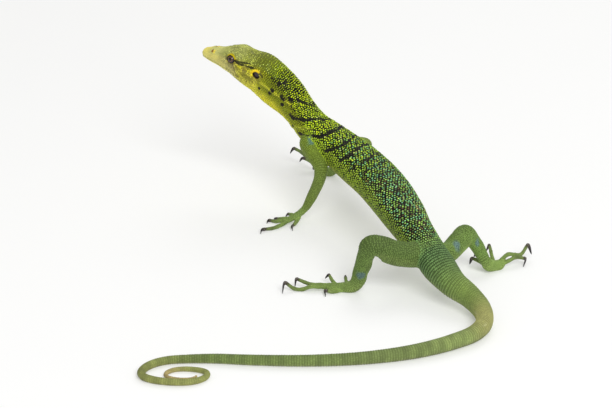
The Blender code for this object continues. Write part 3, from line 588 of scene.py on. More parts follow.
def paint_body(s, a, p):
    """Colour of the scales and of the skin between them."""
    psi = (np.degrees(a) + 90) % 360 - 90                 # -90 below, 0 left, 90 back, 180 right
    f = 90 - np.abs(psi - 90)                             # 90 back, 0 side, -90 below
    n1, n2, n3 = drift(p, 14.0, 0), drift(p, 5.0, 1), drift(p, 2.2, 2)
    fw = f + 6 * n1
    top, belly = step(fw, 22, 46), step(-fw, 8, 40)
    # --- head
    crown = mix(rgb(229, 216, 115), rgb(200, 199, 122), step(s, 4, 9))
    crown = mix(crown, rgb(174, 178, 96), step(s, 12, 19))
    crown = mix(crown, rgb(184, 190, 98), step(s, 22, 30))
    crown = mix(crown, rgb(176, 184, 74), step(s, 31, 38))
    crown = mix(crown, rgb(142, 152, 40), step(s, 41, 48))
    crown = mix(crown, rgb(180, 184, 118), 0.5 * step(n3, 0.3, 0.9) * step(s, 24, 30))
    cheek = mix(rgb(218, 208, 117), rgb(195, 189, 111), step(s, 10, 20))
    cheek = mix(cheek, rgb(194, 188, 62), step(s, 24, 32))
    cheek = mix(cheek, rgb(170, 166, 28), step(s, 36, 46))
    lips = mix(rgb(206, 198, 118), rgb(186, 181, 112), step(s, 18, 34))
    lips = mix(lips, rgb(200, 194, 62), step(s, 25, 35))
    # The throat's own pale yellow, lightened further as painted light where the underside lies in shade.
    throat = mix(rgb(218, 212, 128), rgb(222, 216, 64), step(s, 26, 40))
    throat = mix(throat, rgb(220, 214, 38), step(s, 48, 66))
    throat = mix(throat, rgb(192, 198, 38), step(s, 70, 92))
    head = mix(cheek, crown, step(f, 22, 48))
    head = mix(head, lips, step(-f, -8, 6))
    head = mix(head, throat, step(-f, 12, 40))
    head_gap = head * (0.66 - 0.26 * step(s, 16, 30) * step(f, 4, 26))[:, None]
    # --- neck
    neck = mix(rgb(124, 134, 8), rgb(176, 202, 16), top)
    neck = mix(neck, rgb(162, 192, 32), top * step(s, 76, 96))
    neck = mix(neck, throat, belly)
    neck_gap = mix(rgb(104, 108, 10), rgb(14, 15, 5), step(fw, 0, 28))
    neck_gap = mix(neck_gap, throat * 0.80, belly)
    # --- trunk
    back = mix(rgb(186, 222, 26), rgb(154, 192, 44), step(s, 112, 150))
    back = mix(back, rgb(134, 176, 74), step(s, 150, 190))
    back = mix(back, rgb(130, 166, 74), step(s, 220, 262))
    flank = mix(rgb(152, 178, 36), rgb(136, 164, 50), step(s, 130, 210))
    edge = mix(rgb(150, 158, 74), rgb(138, 150, 82), step(s, 170, 240))
    trunk = mix(flank, back, top)
    trunk = mix(trunk, edge, belly)
    trunk_gap = mix(rgb(34, 44, 12), rgb(13, 11, 8), step(fw, 6, 34))
    trunk_gap = mix(trunk_gap, rgb(48, 26, 18), 0.5 * step(s, 160, 200) * step(n2, 0.0, 0.8))
    trunk_gap = mix(trunk_gap, edge * 0.68, belly)
    # --- tail
    tail = mix(rgb(92, 124, 72), rgb(118, 138, 70), step(s, 262, 300))
    # Paler at the bend of the tail: partly its own tone and partly a painted highlight.
    tail = mix(tail, rgb(163, 163, 99), step(s, 300, 326))
    tail = mix(tail, rgb(136, 152, 88), step(s, 334, 354))
    tail = mix(tail, rgb(118, 134, 76), step(s, 356, 400))
    tail = mix(tail, rgb(112, 130, 70), step(s, 405, 450))
    under = mix(rgb(146, 156, 98), rgb(138, 148, 92), step(s, 300, 400))
    tail = mix(tail, under, step(-fw, 0, 50) * 0.8)
    tail = mix(tail, rgb(138, 138, 84), step(s, 500, 560) * step(-f, -20, 60))
    tail = mix(tail, rgb(158, 158, 92), 0.7 * step(s, 505, 560))
    tail = mix(tail, rgb(196, 168, 120), 0.7 * step(s, 618, 640))
    tail_gap = mix(rgb(52, 70, 38), rgb(98, 116, 56), step(s, 262, 296))
    tail_gap = mix(tail_gap, tail * 0.92, step(s, 278, 310))
    rings = 0.5 + 0.5 * np.sin(s / 7.5 * 2 * np.pi)
    tail = tail * (1.03 - 0.10 * rings * step(s, 320, 360))[:, None]
    # --- joined along the body
    scale = mix(head, neck, step(s, 44, 58))
    gap = mix(head_gap, neck_gap, step(s + 3 * n2 + 8 * top, 34, 48))
    scale = mix(scale, trunk, step(s, 92, 108))
    gap = mix(gap, trunk_gap, step(s, 92, 108))
    scale = mix(scale, tail, step(s + 4 * n1, 246, 268))
    gap = mix(gap, tail_gap, step(s, 246, 266))
    # --- head markings
    eye_d = np.linalg.norm(p[:, None] - np.stack([on_head(EYE_AT, k * (EYE_OUT + 1.4), EYE_UP + 0.8) for k in (1, -1)])[None], axis=2).min(1)
    along, out, up = head_coords(p)
    lid = (1 - step(eye_d, 3.2, 4.2)) * (s < 34)
    gold = lid * step(up + 0.15 * (along - EYE_AT), 4.7, 5.6)
    scale, gap = mix(scale, rgb(244, 224, 22), gold), mix(gap, rgb(190, 166, 12), gold)
    scale = mix(scale, rgb(186, 172, 60), lid * step(-up, -4.0, -3.0) * 0.8)
    scale, gap = mix(scale, rgb(60, 52, 24), 0.75 * lid * (1 - gold) * step(-up, -5.2, -4.4) * (1 - step(-up, -4.0, -3.0))), mix(gap, rgb(46, 38, 20), 0.5 * lid * (1 - gold))
    for sign in (1, -1):
        _, _, g, far, angle, _ = eye_coords(p, sign)
        edge = (1 - step(g, 0.55, 1.0)) * (far < 6.5) * (angle < 1.7) * (s < 40) * (1 - 0.9 * gold)
        scale, gap = mix(scale, rgb(50, 38, 28), 0.8 * edge), mix(gap, rgb(34, 26, 20), 0.85 * edge)
    dark_front = (1 - step(np.hypot(along - 21.6, (up - 4.3) * 1.4), 0.7, 1.6)) * (s < 30)
    scale = mix(scale, rgb(70, 66, 26), 0.55 * dark_front)
    streaks = np.minimum(near_line(s, f, ((28.2, 29), (33.0, 31), (40.2, 40)), 10.5), near_line(s, f, ((34.0, 25), (38.5, 25), (43.8, 27)), 10.5))
    streaks = np.minimum(streaks, near_line(s, f, ((28.0, 24), (32.0, 24), (35.0, 25)), 10.5))
    streaks = np.minimum(streaks, near_line(s, f, ((44.0, 22), (48.0, 20), (50.5, 12)), 10.5) + 0.25)
    streak = (1 - step(streaks + 0.4 * n3, 0.3, 0.95)) * step(s, 27.5, 29.5)
    scale, gap = mix(scale, rgb(44, 46, 18), 0.86 * streak), mix(gap, rgb(26, 26, 12), 0.8 * streak)
    line = (1 - step(near_line(s, f, ((28.5, 14), (34.0, 13), (41.5, 11)), 10.5), 0.4, 1.2)) * (1 - streak)
    scale, gap = mix(scale, rgb(206, 198, 36), 0.8 * line), mix(gap, rgb(150, 146, 30), 0.8 * line)
    mottle = step(n3 + 0.35 * n2, -0.1, 0.5) * bump(s, 32, 7.5) * bump(f, 7, 13)
    scale, gap = mix(scale, rgb(70, 58, 52), 0.7 * mottle), mix(gap, rgb(60, 48, 44), 0.6 * mottle)
    plates = step(np.sin(s * 2 * np.pi / 1.9 + 0.5 * n2), 0.1, 0.8) * bump(f, 5, 6) * step(s, 14, 20) * (1 - step(s, 32, 37))
    scale = mix(scale, rgb(112, 104, 52), 0.25 * plates)
    corner = np.minimum(near_line(s, f, ((33.5, -3), (38.0, -7), (44.5, -11)), 10.5), near_line(s, f, ((35.0, -8), (39.0, -13), (44.0, -18)), 10.5))
    corner = 1 - step(corner + 0.2 * n3, 0.2, 0.7)
    scale, gap = mix(scale, rgb(96, 92, 26), 0.5 * corner), mix(gap, rgb(70, 66, 20), 0.5 * corner)
    below_eye = 1 - step(near_line(s, f, ((22.0, 15), (26.5, 13), (31.0, 17)), 10.5), 0.4, 1.0)
    scale = mix(scale, rgb(222, 208, 84), 0.6 * below_eye)
    ear_r = np.hypot(along - EAR_AT - 0.4, up - EAR_UP - 0.2)
    rim = (1 - step(np.abs(ear_r - 3.45), 0.7, 1.2)) * (np.abs(out) > 8) * (s < 56)
    bright = step(up - 0.8 * (along - EAR_AT), -0.2, 1.6)
    scale = mix(scale, rgb(255, 222, 40), rim * bright)
    gap = mix(gap, rgb(240, 196, 20), rim * bright)
    scale, gap = mix(scale, rgb(150, 142, 52), 0.5 * rim * (1 - bright)), mix(gap, rgb(110, 100, 36), 0.5 * rim * (1 - bright))
    hole = (1 - step(ear_r, 2.5, 2.9)) * (np.abs(out) > 8) * (s < 56)
    scale, gap = mix(scale, rgb(40, 30, 34), hole), mix(gap, rgb(30, 22, 26), hole)
    nose_r = np.hypot(along - NOSTRIL[0], up - NOSTRIL[2])
    halo = (1 - step(np.hypot((along - NOSTRIL[0] - 1.5) / 1.2, up - NOSTRIL[2]), 0.4, 1.1)) * (np.abs(out) > 2) * (s < 16)
    scale, gap = mix(scale, rgb(238, 210, 70), 0.8 * halo), mix(gap, rgb(210, 180, 50), 0.8 * halo)
    hole = (1 - step(nose_r, 0.40, 0.80)) * (np.abs(out) > 2) * (s < 16)
    scale, gap = mix(scale, rgb(150, 98, 44), hole), mix(gap, rgb(110, 68, 30), hole)
    # --- folds of the neck, pale along their crests
    crest = 1 - step(near_line(s, f, ((52.0, -5), (64.5, 0), (76.8, 17)), 11.0), 0.35, 0.95)
    scale, gap = mix(scale, rgb(212, 210, 56), 0.8 * crest), mix(gap, rgb(170, 172, 40), 0.8 * crest)
    crest = 1 - step(near_line(s, f, ((90.0, -20), (94.5, 0), (99.3, 18), (106.0, 38)), 11.0), 0.3, 1.0)
    scale, gap = mix(scale, rgb(186, 194, 66), 0.7 * crest), mix(gap, rgb(140, 150, 40), 0.7 * crest)
    # --- black spots and bands
    ink = np.maximum(band_strength(s + 0.75 * n3 + 0.4 * n2, psi), spot_strength(s + 0.2 * n3, f))
    scale, gap = mix(scale, rgb(22, 21, 18), 0.94 * ink), mix(gap, rgb(16, 14, 12), ink)
    # --- healed pale patches on the back and the tail
    for at, where, size, colour in ((220.5, 116, 3.4, (184, 160, 110)), (243.9, 2, 2.6, (170, 158, 104)), (336.3, 134, 2.6, (206, 206, 156)), (320.0, 20, 2.0, (196, 196, 150))):
        patch = 1 - step(np.hypot((s - at) / size, np.radians(psi - where) * 11 / (size * 0.6)), 0.5, 1.2)
        scale, gap = mix(scale, rgb(*colour), 0.6 * patch), mix(gap, rgb(*colour) * 0.75, 0.5 * patch)
    scale = scale * (1 + 0.07 * n1 + 0.05 * n2)[:, None]
    return scale, gap


def paint_limb(name, s, a, p, route):
    n1, n2, n3 = drift(p, 11.0, 0), drift(p, 4.5, 1), drift(p, 2.0, 2)
    share = s / route.length
    arm = name.startswith("arm")
    upper = rgb(126, 148, 48) if arm else rgb(98, 122, 58)
    lower = rgb(114, 134, 58) if arm else rgb(104, 130, 62)
    end = rgb(126, 150, 76)
    split = route.joint / route.length
    scale = mix(upper, lower, step(share, split - 0.1, split + 0.1))
    scale = mix(scale, end, step(share, route.ankle / route.length - 0.06, route.ankle / route.length + 0.06))
    under = step(route.at(s)[:, 2] - p[:, 2], -0.5, 3.0)
    scale = mix(scale, rgb(150, 166, 92), 0.3 * under)
    gap = scale * 0.52
    knee = bump(share, split, 0.13) * step(n3 + n2, -0.2, 0.6)
    gap = mix(gap, rgb(26, 30, 16), 0.35 * knee + (0.0 if arm else 0.12))
    # bluish grey patches: middle and reach
    for centre, reach in {"arm_L": (((3.1, -17.0, 53.5), (2.9, 3.8, 3.4)),), "leg_L": (((34.6, -144.0, 14.6), (2.6, 4.5, 2.8)),),
                          "leg_R": (((95.9, -123.2, 25.6), (2.5, 3.6, 4.6)), ((110.2, -108.6, 20.8), (1.5, 3.6, 2.5)))}.get(name, ()):
        patch = 1 - step(np.linalg.norm((p - centre) / np.array(reach), axis=1) + 0.3 * n3, 0.5, 1.4)
        grey, deep = (rgb(102, 146, 160), rgb(56, 84, 98)) if arm else (rgb(88, 114, 134), rgb(40, 56, 80))
        scale, gap = mix(scale, grey, (0.72 if arm else 0.66) * patch), mix(gap, deep, 0.6 * patch)
    scale = scale * ((1.13 if name == "leg_R" else 1.0) + 0.05 * n1 + 0.03 * n2)[:, None]
    return scale, gap


def paint_digit(s, a, p, route):
    n2 = drift(p, 4.0, 1)
    share = s / route.length
    scale = mix(rgb(132, 156, 80), rgb(124, 142, 80), step(share, 0.2, 0.9))
    scale = mix(scale, rgb(84, 84, 62), step(share, 0.9, 1.0))
    scale = scale * (1 + 0.08 * n2)[:, None]
    return scale, scale * 0.62


def paint(rid, s, a, p):
    scale, gap = np.zeros((len(s), 3)), np.zeros((len(s), 3))
    for k in np.unique(rid):
        m = rid == k
        if k == BODY_ID:
            scale[m], gap[m] = paint_body(s[m], a[m], p[m])
        elif k < FIRST_DIGIT:
            scale[m], gap[m] = paint_limb(ROUTE_NAMES[k], s[m], a[m], p[m], ROUTES[k])
        else:
            scale[m], gap[m] = paint_digit(s[m], a[m], p[m], ROUTES[k])
    return scale, gap


def linear(c):
    c = np.clip(c, 0.0, 1.0)
    return np.where(c <= 0.04045, c / 12.92, ((c + 0.055) / 1.055) ** 2.4)


# ================================================================== the map on which each scale and face has its place
def unwrap_place(rid, s, a):
    """The skin cut along its underside and laid out: three lengths of the body, the limbs, then the digits."""
    turn = ((a - 1.5 * np.pi) % (2 * np.pi)) / (2 * np.pi)
    u, v = np.zeros(len(s)), np.zeros(len(s))
    rows = ((0.005, 0.395), (0.41, 0.22), (0.64, 0.085))
    body = rid == BODY_ID
    row = np.clip((s / 220.0).astype(int), 0, 2)
    for k, (base, tall) in enumerate(rows):
        m = body & (row == k)
        u[m], v[m] = 0.004 + (s[m] - 220.0 * k) / 222.0, base + tall * turn[m]
    for k in range(FIRST_LIMB, FIRST_DIGIT):
        m = rid == k
        u[m] = 0.01 + 0.5 * ((k - 1) % 2) + 0.47 * s[m] / ROUTES[k].length
        v[m] = 0.74 + 0.115 * ((k - 1) // 2) + 0.10 * turn[m]
    for k in range(FIRST_DIGIT, len(ROUTES)):
        m = rid == k
        u[m] = 0.003 + 0.0498 * (k - FIRST_DIGIT) + 0.044 * s[m] / ROUTES[k].length
        v[m] = 0.973 + 0.024 * turn[m]
    return u, v


# ================================================================== skin
def build_skin(chart):
    verts, faces, count = [], [], 0

    def add(rings):
        nonlocal count
        v, f = tube(rings)
        verts.append(v)
        faces.extend([[i + count for i in q] for q in f])
        count += len(v)

    s = np.arange(0.0, BODY.length, 0.9)
    rings = rings_of(BODY, np.append(s, BODY.length), 64, skin_grow(0), True)
    for k, share in ((-2, 0.8), (-1, 0.45)):
        rings[k] = rings[k].mean(0) + (rings[k] - rings[k].mean(0)) * share
    add(rings)
    for k, route in enumerate(ROUTES[1:], 1):
        limb = k < FIRST_DIGIT
        s = np.append(np.arange(0.0, route.length - 0.3, 0.8 if limb else 0.5), route.length)
        rings = rings_of(route, s, 28 if limb else 14, skin_grow(k))
        centre = route.at(s)[:, :3]
        if not limb:      # soft pads between the joints
            joints = route.s[1:-1]
            swell = 1 + 0.10 * sum(bump(s, j, 1.1) for j in joints) - 0.05
            rings = centre[:, None] + (rings - centre[:, None]) * swell[:, None, None]
            rings[:, :, 2] = np.maximum(rings[:, :, 2], 0.02)
        rings[-1] = centre[-1] + (rings[-1] - centre[-1]) * 0.8
        add(rings)
    rough = new_object("skin_rough", new_mesh("skin_rough", np.vstack(verts), faces))
    m = rough.modifiers.new("voxels", "REMESH")
    m.mode, m.voxel_size, m.adaptivity = "VOXEL", VOXEL, 0.0
    done = bpy.data.meshes.new_from_object(rough.evaluated_get(bpy.context.evaluated_depsgraph_get()))
    bpy.data.objects.remove(rough)

    co = read(done.vertices, "co", 3)
    net = Net(read(done.edges, "vertices", 2, int).reshape(-1, 2), len(co))
    co = net.smooth(co, 6)
    rid, s, a = chart(co)
    # soften the roots of limbs and digits
    e = net.e
    differ = rid[e[:, 0]] != rid[e[:, 1]]
    both = np.minimum(rid[e[:, 0]], rid[e[:, 1]])
    w = np.zeros(len(co))
    w[e[differ & (both == 0)].ravel()] = 1.0
    w = net.spread(w, 8, 0.86)
    co = net.smooth(co, 26, w, shrink=True)
    w = np.zeros(len(co))
    w[e[differ & (both > 0)].ravel()] = 1.0
    w = net.spread(w, 3, 0.7)
    co = net.smooth(co, 6, w, shrink=True)
    co[:, 2] = np.maximum(co[:, 2], 0.0)
    done.vertices.foreach_set("co", co.astype(np.float32).ravel())
    done.update()

    # twice as fine on the head
    bm = bmesh.new()
    bm.from_mesh(done)
    bm.verts.ensure_lookup_table()
    fine = (rid == BODY_ID) & (s < 51.0)
    chosen = [f for f in bm.faces if all(fine[v.index] for v in f.verts)]
    edges = list({x for f in chosen for x in f.edges})
    bmesh.ops.subdivide_edges(bm, edges=edges, cuts=1, use_grid_fill=True)
    bmesh.ops.triangulate(bm, faces=[f for f in bm.faces if len(f.verts) > 4])
    bm.to_mesh(done)
    bm.free()
    co = read(done.vertices, "co", 3)
    net = Net(read(done.edges, "vertices", 2, int).reshape(-1, 2), len(co))
    rid, s, a = chart(co)
    head = ((rid == BODY_ID) & (s < 50)).astype(float)
    co = net.smooth(co, 4, head)
    under = 90 - np.abs((np.degrees(a) + 90) % 360 - 90 - 90)
    w = (rid == BODY_ID) * step(s, 34, 41) * (1 - step(s, 56, 64)) * step(-under, 4, 24)
    co = net.smooth(co, 130, w, shrink=True)
    done.calc_loop_triangles()
    tris = read(done.loop_triangles, "vertices", 3, int).reshape(-1, 3)
    co = sculpt(co, normals_of(co, tris), rid, s, a)
    co = net.smooth(co, 1, 0.6)
    co[:, 2] = np.maximum(co[:, 2], 0.0)
    done.vertices.foreach_set("co", co.astype(np.float32).ravel())
    done.update()
    return done, co, tris, rid, s, a


EYE_LOOK = unit(np.array((-0.12, 0.90, 0.36)))       # where the left eye looks: along, out, up
EYE_OPEN = (3.25, 2.60)                              # half width and half height of the lids' opening
EYEBALL = 3.0


def eye_frame(sign):
    centre = on_head(EYE_AT, sign * EYE_OUT, EYE_UP)
    look = unit(AXIS * EYE_LOOK[0] + SIDE * sign * EYE_LOOK[1] + UP * EYE_LOOK[2])
    level = unit(AXIS - (AXIS @ look) * look)
    rise = np.cross(look, level)
    return centre, look, level, rise if rise @ UP > 0 else -rise


def eye_coords(p, sign):
    """Places round the eyeball: along and up the opening in millimetres, and how far outside the opening."""
    centre, look, level, rise = eye_frame(sign)
    d = p - centre
    far = np.linalg.norm(d, axis=1)
    r = d / np.maximum(far, 1e-9)[:, None]
    angle = np.arccos(np.clip(r @ look, -1, 1))
    x, y = r @ level, r @ rise
    flat = np.maximum(np.hypot(x, y), 1e-9)
    ex, ey = EYEBALL * angle * x / flat, EYEBALL * angle * y / flat
    ey2 = ey + 0.16 * ex                                    # the opening tips down towards the nose
    w, h = EYE_OPEN
    g = np.where(np.abs(ex) < w, np.abs(ey2) - h * np.clip(1 - (ex / w) ** 2, 0, 1) ** 0.7, np.hypot(np.abs(ex) - w, ey2))
    return ex, ey2, g, far, angle, r


def sculpt(co, n, rid, s, a):
    """Lids, brow, nostrils, lips, ears and folds, pressed into or raised on the skin."""
    psi = (np.degrees(a) + 90) % 360 - 90
    f = 90 - np.abs(psi - 90)
    body = rid == BODY_ID
    head = body & (s < 54)
    along, out, up = head_coords(co)
    lift = np.zeros(len(co))
    # canthus: a ridge from the nostril to the brow, and a sharper brow over the eye
    ridge = near_line(s, f, ((7.0, 52), (14.0, 50), (19.5, 50), (24.0, 54), (29.0, 52), (33.0, 46)), 8.0)
    lift += head * 0.42 * bump(ridge, 0, 1.1)
    lift -= head * 0.30 * bump(near_line(s, f, ((9.0, 24), (15.0, 26), (20.0, 30)), 8.0), 0, 1.6)
    # hollow between the brows and along the snout
    lift -= head * 0.35 * bump(s, 21.0, 7.0) * bump(psi, 90, 16)
    lift += head * 0.6 * bump(s, 33.5, 5.0) * step(f, 38, 66)
    lift += body * 0.6 * bump(s, 43.0, 7.0) * step(-f, 20, 60)
    # cheek muscle and jaw angle
    lift += head * 0.5 * bump(np.hypot((s - 38.0) / 6.0, (f - 16) / 16.0), 0, 1.0)
    lift -= head * 0.35 * bump(np.hypot((s - 41.5) / 4.0, (f + 4) / 9.0), 0, 1.0)
    # mouth
    mouth_up = MOUTH_FRONT + (MOUTH_BACK - MOUTH_FRONT) / MOUTH_END * along
    gape = up - mouth_up
    closed = 1 - step(along, MOUTH_END - 4.0, MOUTH_END)
    lift -= head * 0.34 * bump(gape, 0, 0.30) * closed
    lift += head * 0.14 * (bump(gape, 0.85, 0.55) + bump(gape, -0.8, 0.5)) * closed
    lift -= head * 0.12 * bump(gape, 2.0, 0.3) * closed * step(along, 4, 9)
    # throat creases and folds of loose skin
    crease = np.sin((f + 0.4 * s) * 0.55) * step(-f, 18, 34) * step(s, 18, 30) * (1 - step(s, 84, 96))
    lift += body * 0.14 * crease
    fold = near_line(s, f, ((50.0, -6), (64.5, 0), (76.8, 17), (84.0, 24)), 11.0)
    below = near_line(s, f, ((50.0, -13), (64.5, -8), (76.8, 8), (84.0, 16)), 11.0)
    lift += body * (0.50 * bump(fold, 0, 1.0) - 0.34 * bump(below, 0, 0.9))
    fold = near_line(s, f, ((88.5, -50), (90.0, -20), (94.5, 0), (99.3, 18), (106.0, 38)), 11.0)
    below = near_line(s, f, ((91.5, -52), (92.6, -22), (97.0, -4), (102.0, 12), (108.6, 32)), 11.0)
    lift += body * (0.42 * bump(fold, 0, 1.1) - 0.34 * bump(below, 0, 0.9))
    for k, at in enumerate((58.0, 66.0, 73.5, 80.0)):
        lift -= body * 0.16 * bump(s - at + 0.05 * f, 0, 0.9) * bump(f, -26 + 3 * k, 20)
    # creases round the body where it bends behind the arms, and loose skin along the flank
    for at in (118.0, 124.0, 131.0):
        lift -= body * 0.14 * bump(s - at - 0.04 * f, 0, 1.1) * bump(f, -18, 18)
    lift += body * 0.30 * bump(f, -34, 9) * step(s, 126, 142) * (1 - step(s, 236, 252))
    # soft unevenness of the flesh
    lift += body * 0.16 * drift(co, 17.0, 3) * step(s, 60, 90) * (1 - step(s, 300, 340))
    limb = (rid >= FIRST_LIMB) & (rid < FIRST_DIGIT)
    lift += limb * 0.12 * drift(co, 7.0, 3)
    for k in range(FIRST_LIMB, FIRST_DIGIT):
        m = rid == k
        joint, ankle = ROUTES[k].joint, ROUTES[k].ankle
        inner = np.sin(a)
        for d in (-2.4, 0.0, 2.4):
            lift -= m * 0.22 * bump(s, joint + d, 0.6) * step(-inner, -0.2, 0.7)
        for d in (0.0, 1.8):
            lift -= m * 0.14 * bump(s, ankle + d, 0.5)
    toes = rid >= FIRST_DIGIT
    lift -= toes * 0.06 * (0.5 + 0.5 * np.sin(s * 2 * np.pi / 1.15)) * step(np.sin(a), -0.2, 0.3)
    co = co + n * lift[:, None]
    # eyes and their lids
    for sign in (1, -1):
        ex, ey, g, far, angle, r = eye_coords(co, sign)
        centre = eye_frame(sign)[0]
        near = (rid == BODY_ID) & (s < 40) & (far < 7.0) & (angle < 1.9) & (out * sign > 0)
        wall = step(g, -0.02, 0.30)
        lid = EYEBALL + 0.34 - 0.16 * step(g, 0.45, 0.95) - 0.16 * bump(g, 1.15, 0.22) + 0.10 * bump(g, 1.7, 0.35)
        target = np.where(g < 0.32, (EYEBALL - 1.0) * (1 - wall) + lid * wall, lid)
        keep = step(g, 0.85, 2.0)
        radius = target * (1 - keep) + far * keep
        co = np.where(near[:, None], centre + r * radius[:, None], co)
    # ears
    along, out, up = head_coords(co)
    for sign in (1, -1):
        m = (rid == BODY_ID) & (s < 58) & (out * sign > 5)
        r = np.hypot(along - EAR_AT - 0.4, (up - EAR_UP - 0.2) / 1.04)
        deep = -2.1 * (1 - step(r, 2.2, 2.85)) + 0.40 * bump(r, 3.35, 0.62) * (0.55 + 0.45 * step(up - 0.4 * (along - EAR_AT), -2, 1))
        co = co + np.where(m, deep, 0.0)[:, None] * SIDE * sign
    # nostrils
    for sign in (1, -1):
        m = (rid == BODY_ID) & (s < 18) & (out * sign > 1.5)
        c = on_head(NOSTRIL[0], sign * NOSTRIL[1], NOSTRIL[2])
        look = unit(SIDE * sign * 0.85 + UP * 0.5)
        d = co - c
        d = d - (d @ look)[:, None] * look
        r = np.hypot((d @ AXIS) / 1.25, np.linalg.norm(d - np.outer(d @ AXIS, AXIS), axis=1))
        deep = -0.8 * (1 - step(r, 0.22, 0.60)) + 0.18 * bump(r, 0.9, 0.35)
        co = co + np.where(m, deep, 0.0)[:, None] * look
    return co


# ================================================================== scales
def layout():
    """Every scale's root: route, length, angle, pitch along and round, and its shape."""
    rid, ss, aa, along, round_ = [], [], [], [], []

    def rows(k, route, lo, hi, pitch, girth):
        s, odd = lo, 0
        while s < hi:
            p = float(pitch(s))
            ang = 2 * np.pi * (np.arange(96) + 0.5) / 96
            ring = points_at(route, np.full(96, s), ang, skin_grow(k), k == 0)
            edge = np.linalg.norm(np.roll(ring, -1, 0) - ring, axis=1)
            f = 90 - np.abs((np.degrees(ang) + 90) % 360 - 90 - 90)
            need = girth(s, f)
            share = np.concatenate([[0], np.cumsum(edge / need)])
            n = max(5, int(round(share[-1])))
            t = (np.arange(n) + 0.5 * (odd % 2) + 0.25) / n * share[-1]
            t = np.where(t > share[-1], t - share[-1], t)
            a = np.interp(t, share, np.append(ang, ang[0] + 2 * np.pi))
            rid.append(np.full(n, k))
            ss.append(np.full(n, s))
            aa.append(a % (2 * np.pi))
            along.append(np.full(n, p))
            round_.append(np.interp(a % (2 * np.pi), ang, need) * share[-1] / n)
            s += p
            odd += 1

    def body_pitch(s):
        return np.interp(s, (0, 8, 30, 46, 62, 80, 92, 104, 120, 240, 262, 285, 340, 420, 520, 640), (0.62, 0.72, 0.88, 1.14, 1.35, 1.38, 1.46, 1.64, 1.84, 1.86, 1.80, 1.70, 1.5, 1.6, 1.5, 1.2))

    def body_girth(s, f):
        back = np.interp(s, (0, 8, 30, 46, 62, 80, 92, 104, 120, 240, 262, 285, 340, 420, 520, 640), (0.55, 0.66, 0.82, 1.16, 1.42, 1.48, 1.58, 1.78, 1.98, 1.98, 1.36, 1.12, 1.05, 1.0, 0.95, 0.8))
        side = np.interp(s, (0, 46, 62, 92, 120, 250, 300), (1.0, 1.0, 0.92, 0.86, 0.72, 0.74, 1.0))
        below = np.interp(s, (0, 40, 100, 120, 250, 300), (1.15, 1.1, 1.15, 1.0, 1.05, 1.1))
        return back * (1 + (side - 1) * (1 - step(f, 5, 38))) * (1 + (below - 1) * step(-f, 20, 50))

    rows(0, BODY, 0.5, BODY.length - 0.5, body_pitch, body_girth)
    for k in range(FIRST_LIMB, FIRST_DIGIT):
        r = ROUTES[k]
        rows(k, r, 2.0, r.length - 0.3, lambda s, r=r: np.interp(s / r.length, (0, 0.5, 0.8, 1.0), (1.2, 1.1, 0.95, 0.8)),
             lambda s, f, r=r: np.interp(s / r.length, (0, 0.5, 0.8, 1.0), (1.1, 1.0, 0.86, 0.74)) + 0 * f)
    for k in range(FIRST_DIGIT, len(ROUTES)):
        r = ROUTES[k]
        rows(k, r, 0.6, r.length - 0.1, lambda s: 0.74, lambda s, f: 0.68 + 0 * f)
    out = [np.concatenate(x) for x in (rid, ss, aa, along, round_)]
    loose = np.where(out[0] == BODY_ID, 0.045 + 0.04 * step(out[1], 36, 48) * (1 - 0.35 * step(out[1], 84, 104)) * (1 - step(out[1], 245, 270)), np.where(out[0] < FIRST_DIGIT, 0.13, 0.07))      # how far from even rows
    girth = np.where(out[0] == BODY_ID, 8.0, np.where(out[0] < FIRST_DIGIT, 4.5, 1.3))
    wave = 0.12 * (np.sin(13 * out[2] + 0.5 * out[1]) + np.sin(8 * out[2] - 0.8 * out[1] + 1)) * (out[0] == BODY_ID) * step(out[1], 34, 46) * (1 - step(out[1], 236, 256))
    out[1] = out[1] + (RNG.normal(0, 1, len(out[1])) * loose + wave) * out[3]
    out[2] = out[2] + RNG.normal(0, 1, len(out[2])) * loose * out[4] / girth
    return out


